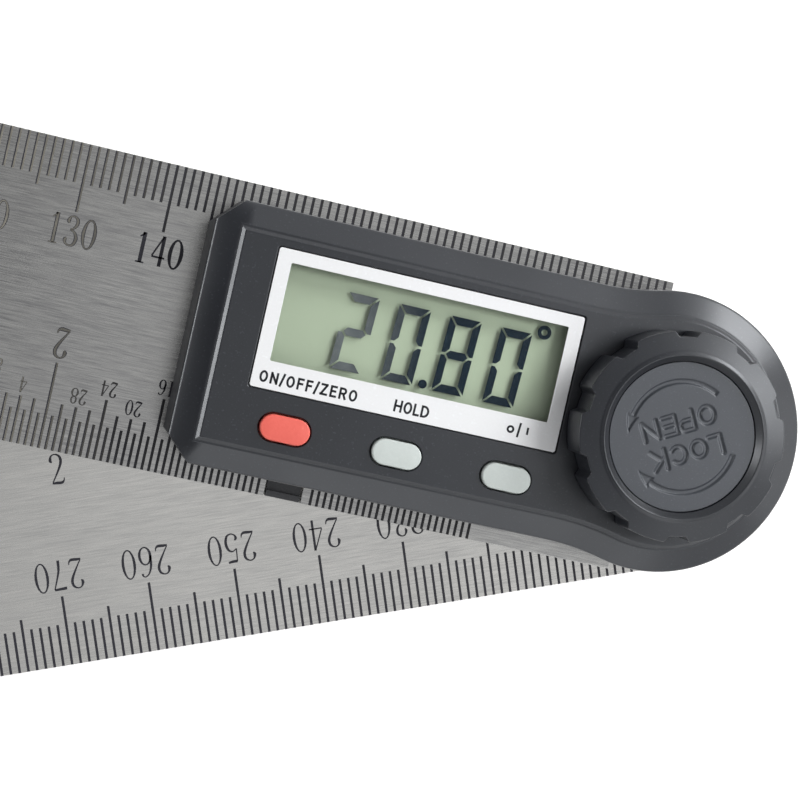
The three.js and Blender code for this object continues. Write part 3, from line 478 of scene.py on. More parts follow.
def build_groups() -> None:
    """Builds each shared effect once.

    Brushed lines: noise stretched along X, fine and coarse, plus a slow change over the blade.
    Moulded grain: fine noise for the spark-eroded skin of a moulding, and sparse light specks.
    Soft clouds: one slow noise for small changes of tone.
    """
    coarse_scale, coarse_share, slow_scale = 0.22, 0.18, 22.0
    group, given, out = new_group(Effect.BRUSHED, {"Length": 200.0, "Width": 7000.0}, ["Lines", "Clouds"])
    scale = node(group, "CombineXYZ", given["Length"], given["Width"], given["Length"]).outputs[0]
    stretched = node(group, "VectorMath", given["Vector"], scale,
                     options={"operation": "MULTIPLY"}).outputs[0]
    fine = noise(group, stretched, 1.0, detail=3.0, rough=0.6)
    coarse = noise(group, stretched, coarse_scale)
    both = math_node(group, "ADD", math_node(group, "MULTIPLY", fine, 1 - coarse_share),
                     math_node(group, "MULTIPLY", coarse, coarse_share))
    group.links.new(both, out["Lines"])
    group.links.new(noise(group, given["Vector"], slow_scale), out["Clouds"])

    speck_scale, speck_level, speck_gain = 0.7, 0.70, 7.0
    group, given, out = new_group(Effect.GRAIN, {"Scale": 5000.0}, ["Height", "Specks"])
    group.links.new(noise(group, given["Vector"], given["Scale"], rough=0.6), out["Height"])
    wide = math_node(group, "MULTIPLY", given["Scale"], speck_scale)
    above = math_node(group, "SUBTRACT", noise(group, given["Vector"], wide, detail=0.0), speck_level)
    group.links.new(math_node(group, "MULTIPLY", above, speck_gain, clamp=True), out["Specks"])

    group, given, out = new_group(Effect.CLOUDS, {"Scale": 60.0}, ["Tone"])
    group.links.new(noise(group, given["Vector"], given["Scale"]), out["Tone"])


# Finishes

def linear(colour: Colour) -> tuple[float, ...]:
    """A colour given as 0 to 255 on a screen, as the light that it stands for, with an alpha of 1."""
    v = np.array(colour) / 255.0
    light = np.where(v <= 0.04045, v / 12.92, ((v + 0.055) / 1.055) ** 2.4)
    return (*light.tolist(), 1.0)


class Tree:
    """Node tree of one material, with the few steps that every finish takes."""

    def __init__(self, name: str, turn: float = 0.0) -> None:
        """Starts a material with a Principled shader and Object coordinates.

        Args:
            name: the material's name.
            turn: degrees that the coordinates are turned about Z.
        """
        self.material = bpy.data.materials.new(name)
        self.material.use_nodes = True
        self.tree = self.material.node_tree
        self.shader = self.tree.nodes["Principled BSDF"]
        place = node(self.tree, "TexCoord").outputs["Object"]
        self.vector = node(self.tree, "Mapping", place,
                           Rotation=(0.0, 0.0, math.radians(turn))).outputs["Vector"]

    def effect(self, effect: Effect, **values: float) -> bpy.types.NodeOutputs:
        """Places a shared group, fed with the coordinates and its own values, and gives its outputs."""
        return node(self.tree, "Group", options={"node_tree": bpy.data.node_groups[effect.value]},
                    Vector=self.vector, **values).outputs

    def blended(self, mask: Socket, dark: Colour | Socket, light: Colour) -> Socket:
        """A colour between two, by a mask; the first may come from a socket."""
        first = dark if isinstance(dark, Socket) else linear(dark)
        return node(self.tree, "Mix", options={"data_type": "RGBA"}, Factor=mask, A=first,
                    B=linear(light)).outputs["Result"]

    def spread(self, mask: Socket, low: float, high: float,
               source: tuple[float, float] = (0.3, 0.7)) -> Socket:
        """A value from low to high as the mask goes over its middle range."""
        return ranged(self.tree, mask, source, (low, high))

    def tone(self, fine: Socket, slow: Socket, share: float) -> Socket:
        """A mask from a fine effect and a slow one, which has the given share."""
        return math_node(self.tree, "ADD", self.spread(fine, 0.0, 1 - share),
                         self.spread(slow, 0.0, share), clamp=True)

    def bumped(self, height: Socket, strength: float, depth: float) -> None:
        """Feeds a height into the shader's normal; depth is in millimetres."""
        bump = node(self.tree, "Bump", Strength=strength, Distance=depth * MM, Height=height)
        self.feed(Normal=bump.outputs["Normal"])

    def feed(self, **values: object) -> None:
        """Links or sets the shader's inputs."""
        fill_inputs(self.tree, self.shader, values)


@dataclass(frozen=True)
class BrushedMetal:
    """Sheet or turned metal with fine lines along one direction."""
    name: str
    dark: Colour
    light: Colour
    turn: float = 0.0
    rough_low: float = 0.22
    rough_high: float = 0.30
    length: float = 300.0
    width: float = 7000.0
    bump: float = 0.16
    depth: float = 0.02
    slow_share: float = 0.2

    def made(self) -> bpy.types.Material:
        """Builds the material.

        Returns:
            The material.
        """
        tree = Tree(self.name, self.turn)
        brushed = tree.effect(Effect.BRUSHED, Length=self.length, Width=self.width)
        lines = brushed["Lines"]
        tone = tree.tone(lines, brushed["Clouds"], self.slow_share)
        tree.feed(Base_Color=tree.blended(tone, self.dark, self.light),
                  Roughness=tree.spread(lines, self.rough_low, self.rough_high), Metallic=1.0)
        tree.bumped(lines, self.bump, self.depth)
        return tree.material


@dataclass(frozen=True)
class MouldedPlastic:
    """Moulded plastic or rubber with a fine grain, a soft change of tone and light specks."""
    name: str
    colour: Colour
    lighter: Colour
    speck: Colour
    roughness: float
    specular: float
    scale: float
    bump: float
    depth: float = 0.02
    slow_scale: float = 90.0
    slow_share: float = 0.4
    change: float = 0.04
    glint: tuple[float, float, float, float] = (0.93, 0.96, 1.0, 1.0)

    def made(self) -> bpy.types.Material:
        """Builds the material.

        Returns:
            The material.
        """
        tree = Tree(self.name)
        grain = tree.effect(Effect.GRAIN, Scale=self.scale)
        clouds = tree.effect(Effect.CLOUDS, Scale=self.slow_scale)["Tone"]
        base = tree.blended(tree.tone(grain["Height"], clouds, self.slow_share), self.colour, self.lighter)
        tree.feed(Base_Color=tree.blended(grain["Specks"], base, self.speck),
                  Roughness=tree.spread(clouds, self.roughness - self.change, self.roughness + self.change),
                  Specular_IOR_Level=self.specular, Specular_Tint=self.glint)
        tree.bumped(grain["Height"], self.bump, self.depth)
        return tree.material


@dataclass(frozen=True)
class ScaleInk:
    """Dark ink that pales along X. On a scale the pale end is filling rubbed away with a painted highlight of
    the groove's lit wall; on the display it is a painted reflection of the window that fades the figures.
    """
    name: str
    fresh: Colour
    worn_and_lit: Colour
    pale_from: float = -60.0
    pale_to: float = -76.0
    specular: float = 0.3
    patch_scale: float = 900.0
    patch_low: float = 0.72
    roughness: tuple[float, float] = (0.5, 0.6)

    def made(self) -> bpy.types.Material:
        """Builds the material: the tone follows the place along X, broken up by noise.

        Returns:
            The material.
        """
        tree = Tree(self.name)
        along = node(tree.tree, "SeparateXYZ", tree.vector).outputs["X"]
        clouds = tree.effect(Effect.CLOUDS, Scale=self.patch_scale)["Tone"]
        # Painted light: this mask pales the ink towards the far end, a painted highlight over rubbed filling
        # on a scale and a painted reflection on the display's figures.
        wear_and_sheen = tree.spread(along, 1.0, 0.0, (self.pale_to * MM, self.pale_from * MM))
        pale = math_node(tree.tree, "MULTIPLY", wear_and_sheen, tree.spread(clouds, self.patch_low, 1.0), clamp=True)
        tree.feed(Base_Color=tree.blended(pale, self.fresh, self.worn_and_lit),
                  Roughness=tree.spread(clouds, *self.roughness), Specular_IOR_Level=self.specular)
        return tree.material


@dataclass(frozen=True)
class ClearSheet:
    """Clear plastic or glass, thin enough to be seen through as it is."""
    name: str
    tint: Colour
    alpha: float
    change: float = 0.1
    slow_scale: float = 40.0
    roughness: float = 0.06

    def made(self) -> bpy.types.Material:
        """Builds the material: the alpha changes a little over the sheet.

        Returns:
            The material.
        """
        tree = Tree(self.name)
        clouds = tree.effect(Effect.CLOUDS, Scale=self.slow_scale)["Tone"]
        alpha = tree.spread(clouds, self.alpha * (1 - self.change), self.alpha * (1 + self.change))
        tree.feed(Alpha=alpha, Base_Color=linear(self.tint), Roughness=self.roughness)
        return tree.material


@dataclass(frozen=True)
class BoardLaminate:
    """Green board with copper tracks under its mask, as thin bands on a bent wave."""
    name: str = "board_laminate"
    mask: Colour = (28, 92, 52)
    track: Colour = (58, 140, 80)
    scale: float = 260.0
    bends: float = 3.0
    level: float = 0.62
    gain: float = 8.0
    roughness: tuple[float, float] = (0.4, 0.3)
    bump: float = 0.4
    depth: float = 0.03

    def made(self) -> bpy.types.Material:
        """Builds the material.

        Returns:
            The material.
        """
        tree = Tree(self.name)
        wave = node(tree.tree, "TexWave", options={"wave_type": "BANDS"}, Vector=tree.vector,
                    Scale=self.scale, Distortion=self.bends, Detail=0.0).outputs[1]
        band = math_node(tree.tree, "MULTIPLY", math_node(tree.tree, "SUBTRACT", wave, self.level),
                         self.gain, clamp=True)
        tree.feed(Base_Color=tree.blended(band, self.mask, self.track),
                  Roughness=tree.spread(band, *self.roughness, (0.0, 1.0)))
        tree.bumped(band, self.bump, self.depth)
        return tree.material


# Name, dark, light, turn, lowest and highest roughness, length and width of the lines, bump
METALS = (
    ("upper_steel", (118, 118, 120), (183, 183, 181)),
    # The lower blade's steel is lighter than the upper's: painted light, a highlight for the sheen of its
    # brushing under the lamps.
    ("lower_steel_lit", (163, 163, 162), (203, 202, 199), -ARM_ANGLE),
    ("turned_steel", (150, 151, 153), (185, 186, 188), 0.0, 0.22, 0.34, 900.0, 2500.0, 0.1),
    ("machined_brass", (176, 132, 62), (205, 165, 92), 0.0, 0.26, 0.4, 900.0, 3000.0, 0.1),
    ("sintered_bronze", (140, 96, 54), (170, 122, 74), 0.0, 0.42, 0.56, 3000.0, 3000.0, 0.3),
    ("spring_metal", (188, 180, 160), (214, 208, 192), 0.0, 0.2, 0.3, 600.0, 2500.0, 0.1),
)
BRIGHT_METALS = {"upper_steel", "lower_steel_lit", "turned_steel"}

# Name, colour, lighter, speck, roughness, specular, scale of the grain, bump
PLASTICS = (
    ("housing_plastic", (16, 18, 23), (22, 24, 30), (40, 42, 48), 0.32, 0.6, 6500.0, 0.2),
    ("knob_plastic", (14, 16, 21), (21, 23, 29), (38, 40, 46), 0.36, 0.6, 6500.0, 0.2),
    ("cap_plastic", (42, 45, 51), (50, 53, 59), (62, 64, 70), 0.4, 0.62, 6500.0, 0.2),
    # The tray's grey is lighter than the housing's plastic of the same kind: a painted highlight for its lit
    # lip.
    ("tray_plastic_lit", (54, 54, 56), (64, 64, 66), (72, 72, 74), 0.46, 0.42, 6500.0, 0.25),
    ("bezel_print", (224, 225, 226), (228, 229, 231), (231, 233, 235), 0.42, 0.3, 4000.0, 0.05),
    ("display_ground", (196, 213, 185), (202, 219, 191), (199, 216, 188), 0.5, 0.2, 3000.0, 0.03),
    ("label_ink", (22, 22, 26), (28, 28, 32), (30, 30, 34), 0.45, 0.3, 6000.0, 0.03),
    ("red_rubber", (221, 98, 86), (227, 106, 94), (228, 110, 98), 0.46, 0.35, 3500.0, 0.1),
    ("grey_rubber", (188, 195, 192), (194, 201, 198), (195, 202, 199), 0.46, 0.35, 3500.0, 0.1),
    ("strip_rubber", (52, 52, 54), (84, 84, 86), (70, 70, 72), 0.8, 0.2, 2500.0, 0.2),
    ("potting_resin", (20, 20, 22), (28, 28, 30), (34, 34, 36), 0.3, 0.5, 900.0, 0.2),
    ("white_sheet", (222, 220, 212), (232, 230, 223), (226, 224, 217), 0.6, 0.3, 1500.0, 0.1),
)


def build_finishes() -> Finishes:
    """Builds every finish once.

    Returns:
        The materials by the plain name that the pieces use.
    """
    finishes = [
        *(BrushedMetal(*row) for row in METALS),
        *(MouldedPlastic(*row) for row in PLASTICS),
        # The figures pale towards the display's left end: a painted reflection of the window.
        ScaleInk("display_figures", (12, 32, 46), (112, 119, 121), -29.4, -38.5, 0.1),
        ScaleInk("scale_ink", (34, 34, 42), (34, 34, 42)),
        # The pale end of this ink is filling rubbed out of the grooves together with a painted highlight of
        # their lit walls.
        ScaleInk("worn_lit_ink", (32, 32, 34), (122, 119, 110)),
        ClearSheet("clear_window", (52, 56, 55), 0.05),
        ClearSheet("display_front", (60, 66, 58), 0.04),
        BoardLaminate(),
    ]
    return {finish.name: finish.made() for finish in finishes}


# Blades

@dataclass
class Blade:
    """One graduated blade: a flat plate with soft edges, square at one end and round at the pivot."""
    name: str
    body: str
    low: float
    finish: str
    reach: float = 200.0
    half: float = 17.4
    end_radius: float = 15.5
    thickness: float = 1.2
    soft: float = 0.07
    notch: tuple[float, float, float] | None = None
    seat: tuple[float, float] | None = None

    def outline(self, inset: float) -> np.ndarray:
        """The edge: two long sides, a square end, and a half circle between two shoulders.

        Args:
            inset: how far the edge is moved inwards.

        Returns:
            The points, counter-clockwise.
        """
        half, far = self.half - inset, -self.reach + inset
        radius = self.end_radius - inset
        root = min(-inset, 0.0)
        below = [(far, -half)]
        if self.notch is not None:
            left, right, depth = self.notch
            below += [(left - inset, -half), (left - inset, depth + inset),
                      (right + inset, depth + inset), (right + inset, -half)]
        below.append((root, -half))
        return np.concatenate([
            np.array(below), arc(root, 0, radius, -90, 90, 64), np.array([(root, half), (far, half)])])

    def build(self, finishes: Finishes, holes: Holes, spin: float) -> None:
        """Makes the plate and sets it on its body.

        Args:
            finishes: the materials.
            holes: the holes right through it, with their roundings.
            spin: degrees that the blade is turned.
        """
        shell = Shell()
        shell.plate(self.outline, self.low, self.low + self.thickness, self.soft, holes, self.seat)
        shell.install(f"{self.name}_plate", finishes[self.finish], self.body, "blade_steel", self.name,
                      spin=spin)


# The strokes of each figure, in a box one unit high: the ovals with centre, radii and two thicknesses,
# and the paths with the place and the thickness at each of their points
OVALS: dict[str, Sequence[tuple[float, ...]]] = {
    "0": [(0.23, 0.5, 0.185, 0.47, 0.10, 0.05)],
    "6": [(0.235, 0.30, 0.175, 0.285, 0.10, 0.05)],
    "8": [(0.23, 0.745, 0.15, 0.23, 0.085, 0.05), (0.23, 0.275, 0.18, 0.25, 0.10, 0.05)],
}
PATHS: dict[str, Sequence[Sequence[Corner]]] = {
    "1": [[(0.23, 0.0, 0.10), (0.23, 0.5, 0.10), (0.23, 1.0, 0.10)],
          [(0.09, 0.84, 0.035), (0.17, 0.90, 0.05), (0.23, 0.99, 0.06)],
          [(0.09, 0.018, 0.036), (0.23, 0.018, 0.036), (0.37, 0.018, 0.036)]],
    "2": [[(0.10, 0.72, 0.05), (0.055, 0.79, 0.11), (0.10, 0.93, 0.06), (0.22, 0.975, 0.05),
           (0.35, 0.90, 0.085), (0.385, 0.74, 0.10), (0.32, 0.55, 0.085), (0.17, 0.28, 0.055),
           (0.05, 0.08, 0.045)],
          [(0.03, 0.05, 0.06), (0.16, 0.055, 0.10), (0.32, 0.045, 0.10), (0.40, 0.10, 0.06),
           (0.425, 0.20, 0.03)]],
    "3": [[(0.10, 0.74, 0.05), (0.06, 0.81, 0.10), (0.11, 0.94, 0.055), (0.22, 0.975, 0.05),
           (0.34, 0.89, 0.085), (0.35, 0.74, 0.09), (0.28, 0.60, 0.06), (0.16, 0.535, 0.045)],
          [(0.16, 0.535, 0.045), (0.31, 0.47, 0.07), (0.395, 0.28, 0.10), (0.34, 0.08, 0.08),
           (0.21, 0.025, 0.05), (0.09, 0.08, 0.06), (0.05, 0.19, 0.10), (0.10, 0.26, 0.05)]],
    "4": [[(0.31, 0.98, 0.045), (0.17, 0.65, 0.045), (0.03, 0.31, 0.045)],
          [(0.02, 0.29, 0.05), (0.23, 0.29, 0.05), (0.45, 0.29, 0.05)],
          [(0.32, 0.0, 0.09), (0.32, 0.5, 0.09), (0.32, 1.0, 0.09)]],
    "5": [[(0.09, 0.93, 0.10), (0.23, 0.93, 0.10), (0.38, 0.95, 0.08)],
          [(0.095, 0.94, 0.045), (0.085, 0.72, 0.045), (0.075, 0.52, 0.045)],
          [(0.075, 0.52, 0.04), (0.20, 0.60, 0.05), (0.33, 0.54, 0.085), (0.395, 0.32, 0.10),
           (0.34, 0.09, 0.08), (0.20, 0.025, 0.05), (0.085, 0.08, 0.06), (0.05, 0.18, 0.10),
           (0.10, 0.25, 0.05)]],
    "6": [[(0.062, 0.30, 0.09), (0.075, 0.62, 0.085), (0.16, 0.87, 0.06), (0.29, 0.975, 0.045),
           (0.37, 0.93, 0.06), (0.375, 0.86, 0.09)]],
    "7": [[(0.03, 0.92, 0.11), (0.23, 0.93, 0.10), (0.42, 0.94, 0.08)],
          [(0.42, 0.93, 0.045), (0.31, 0.62, 0.06), (0.22, 0.32, 0.085), (0.20, 0.0, 0.105)]],
}


@dataclass(frozen=True)
class Figures:
    """Narrow figures with thick and thin strokes, as on engraved rules.

    Each stroke becomes a ribbon: its middle line is moved to both sides by half the thickness. A
    ribbon is its two edges, as 2 by n by 2, and whether its ends join.
    """
    weight: float = 1.0
    width: float = 0.46
    advance: float = 0.55
    steps: int = 3
    sides: int = 18

    def oval(self, x: float, y: float, rx: float, ry: float, thick: float, thin: float) -> Ribbon:
        """A closed ring whose thickness goes from its sides to its ends with the cosine squared.

        Args:
            x, y: the centre.
            rx, ry: the middle line's radii.
            thick, thin: the thickness at the sides and at the ends.

        Returns:
            The ribbon.
        """
        angle = np.linspace(0.0, TURN, self.sides, endpoint=False)
        half = self.weight * (thin + (thick - thin) * np.cos(angle) ** 2) / 2
        ring = [np.stack([x + (rx - half * side) * np.cos(angle), y + (ry - half * side) * np.sin(angle)],
                         axis=1) for side in (-1, 1)]
        return np.stack(ring), True

    def path(self, points: Sequence[Corner]) -> Ribbon:
        """A smooth curve through points that each have their own thickness.

        Between two points it is the cubic that also looks at the points before and after them.

        Args:
            points: x, y and thickness of each.

        Returns:
            The ribbon.
        """
        knots = np.array(points, float)
        ends = np.concatenate([2 * knots[:1] - knots[1:2], knots, 2 * knots[-1:] - knots[-2:-1]])
        t = np.linspace(0.0, 1.0, self.steps, endpoint=False)[None, :, None]
        a, b, c, d = ends[:-3, None], ends[1:-2, None], ends[2:-1, None], ends[3:, None]
        curve = 0.5 * (2 * b + (c - a) * t + (2 * a - 5 * b + 4 * c - d) * t ** 2
                       + (3 * b - a - 3 * c + d) * t ** 3)
        curve = np.concatenate([curve.reshape(-1, 3), knots[-1:]])
        return widened(curve[:, :2], np.gradient(curve[:, :2], axis=0), curve[:, 2:] * self.weight), False

    def drawn(self, figure: str) -> list[Ribbon]:
        """The strokes of one figure; a nine is a six turned upside down.

        Args:
            figure: the figure.

        Returns:
            The ribbons, in a box one unit high.
        """
        if figure == "9":
            return [(np.array([self.width, 1.0]) - edges, closed) for edges, closed in self.drawn("6")]
        return [*(self.oval(*values) for values in OVALS.get(figure, ())),
                *(self.path(points) for points in PATHS.get(figure, ()))]

    def word(self, text: str, height: float) -> list[Ribbon]:
        """A whole number as ribbons, centred on x = 0 and standing on y = 0.

        Args:
            text: the figures.
            height: the height of a figure.

        Returns:
            The ribbons.
        """
        start = -((len(text) - 1) * self.advance + self.width) / 2
        return [((edges + np.array([start + place * self.advance, 0.0])) * height, closed)
                for place, figure in enumerate(text) for edges, closed in self.drawn(figure)]


def widened(line: np.ndarray, way: np.ndarray, thickness: float | np.ndarray) -> np.ndarray:
    """The two edges of a ribbon: the line moved to both sides by half the thickness.

    Args:
        line: the middle line's points.
        way: the line's direction at each point, of any length.
        thickness: the ribbon's, or one for each point.

    Returns:
        The edges, as 2 by n by 2.
    """
    way = way / np.linalg.norm(way, axis=1, keepdims=True)
    side = np.stack([-way[:, 1], way[:, 0]], axis=1) * thickness / 2
    return np.stack([line - side, line + side])


@dataclass
class Scale:
    """The marks and figures of one blade, let into its top as thin black bars.

    In the scale's own frame the blade points along -X, with its edges at y = +half and -half.
    """
    name: str
    body: str
    top: float
    proud: float = 0.008
    sunk: float = 0.125
    half: float = 17.4
    reach: float = 200.0
    mark: float = 0.3
    lengths: tuple[float, float, float] = (4.55, 5.7, 7.8)
    edge_gap: float = 0.01
    inch: float = 25.4
    inch_parts: int = 32
    inch_zero: float = 17.64
    inch_lengths: tuple[float, float, float, float, float] = (3.9, 5.4, 6.95, 8.45, 9.9)
    inch_count: int = 7
    tall: float = 3.5
    small: float = 1.8
    gap: float = 0.45
    inch_gap: float = 0.5
    small_gap: float = 0.35
    side: int = 1
    first: int = 0
    step: int = 1
    notch: tuple[float, float] | None = None
    figures: Figures = Figures()
    # The pale strip of each mark is filling rubbed away together with a painted highlight of the groove's lit
    # wall.
    worn_and_lit: bool = False
    pale_share: float = 0.58
    pale_from: float = -62.0
    figure_sunk: float = 0.125 / 3
    figure_over: float = 0.004
    fresh: Shell = field(default_factory=Shell)
    pale_strips: Shell = field(default_factory=Shell)

    def bars(self, shell: Shell, x: np.ndarray, edge: float, length: np.ndarray, left: float = 0.0,
             right: float = 1.0) -> None:
        """Adds the marks of one edge as boxes: each runs from the edge inwards by its length.

        Args:
            shell: where they go.
            x: the places along the blade.
            edge: the y of the blade's edge.
            length: the length of each mark.
            left, right: the part of the width that is filled, from 0 to 1.
        """
        inward = -math.copysign(1.0, edge)
        outer = edge + inward * self.edge_gap
        corner_x = np.array([left, right, right, left]) - 0.5
        corner_y = np.array([0.0, 0.0, 1.0, 1.0])
        px = x[:, None] + corner_x * self.mark
        py = outer + inward * corner_y * length[:, None]
        levels = (self.top - self.sunk, self.top + self.proud)
        boxes = np.concatenate([np.stack([px, py, np.full_like(px, z)], axis=-1) for z in levels], axis=1)
        quads = np.array([[0, 3, 2, 1], [4, 5, 6, 7], [0, 1, 5, 4], [1, 2, 6, 5], [2, 3, 7, 6], [3, 0, 4, 7]])
        if inward < 0:
            quads = quads[:, ::-1]
        faces = np.arange(len(x))[:, None, None] * 8 + quads
        shell.add(boxes.reshape(-1, 3), faces.reshape(-1, 4).tolist())

    def marked(self, x: np.ndarray, edge: float, length: np.ndarray) -> None:
        """Adds the marks of one edge, in two strips where one side is pale: rubbed filling with a painted
        highlight.

        Args:
            x: the places along the blade.
            edge: the y of the blade's edge.
            length: the length of each mark.
        """
        if self.worn_and_lit:
            split = 1.0 - self.pale_share
            self.bars(self.fresh, x, edge, length, right=split)
            self.bars(self.pale_strips, x, edge, length, left=split)
        else:
            self.bars(self.fresh, x, edge, length)

    def number(self, text: str, x: float, edge: float, length: float, gap: float,
               height: float, upright: bool) -> None:
        """Adds one number beyond the end of its mark, as closed ribbons let into the blade.

        Where the filling is pale, a narrower ribbon lies on each one: rubbed filling with a painted
        highlight.

        Args:
            text: the figures.
            x: the mark's place.
            edge: the y of the blade's edge.
            length: the length of the mark.
            gap: the space between mark and number.
            height: the height of the figures.
            upright: whether the figures stand upright when +Y is up.
        """
        inward = -math.copysign(1.0, edge)
        near = edge + inward * (length + gap)
        base = near if (inward > 0) == upright else near + inward * height
        turn = 1.0 if upright else -1.0
        low, high = self.top - self.figure_sunk, self.top + self.proud
        for edges, closed in self.figures.word(text, height):
            flat = edges * turn + np.array([x, base])
            self.fresh.ribbon(flat, closed, low, high)
            if self.worn_and_lit and x < self.pale_from:
                middle = flat.mean(axis=0, keepdims=True)
                thin = middle + (flat - middle) * self.pale_share
                self.pale_strips.ribbon(thin, closed, low, high + self.figure_over)

    def build(self, finishes: Finishes, spin: float) -> None:
        """Makes the marks and the numbers of both edges.

        Args:
            finishes: the materials.
            spin: degrees that the blade is turned.
        """
        marks = np.arange(1, int(self.reach))
        short, five, ten = self.lengths
        length = np.where(marks % 10 == 0, ten, np.where(marks % 5 == 0, five, short))
        edge = self.side * self.half
        place = marks - self.reach
        self.marked(place, edge, length)
        for mark in marks[marks % 10 == 0]:
            self.number(str(self.first + self.step * int(mark)), float(mark - self.reach), edge, ten,
                        self.gap, self.tall, self.side > 0)
        inch = self.inch_parts
        parts = np.arange(0, self.inch_count * inch + 1)
        odd, even, quarter, mid, whole = self.inch_lengths
        length = np.select([parts % (inch // n) == 0 for n in (1, 2, 4, 16)],
                           [whole, mid, quarter, even], odd)
        place = -self.inch_zero - parts * self.inch / inch
        keep = np.ones(len(parts), bool)
        if self.notch is not None:
            keep = (place < self.notch[0] - self.mark) | (place > self.notch[1] + self.mark)
        self.marked(place[keep], -edge, length[keep])
        for part in parts[4::4]:
            text, gap, height = str(part % inch), self.small_gap, self.small
            if part % inch == 0:
                text, gap, height = str(part // inch), self.inch_gap, self.tall
            self.number(text, float(place[part]), -edge, float(length[part]), gap, height, self.side < 0)
        self.fresh.install(f"{self.name}_marks", finishes["scale_ink"], self.body, "blade_steel", spin=spin)
        if self.worn_and_lit:
            self.pale_strips.install(f"{self.name}_worn_lit_marks", finishes["worn_lit_ink"], self.body, "blade_steel",
                               spin=spin)


# Housing

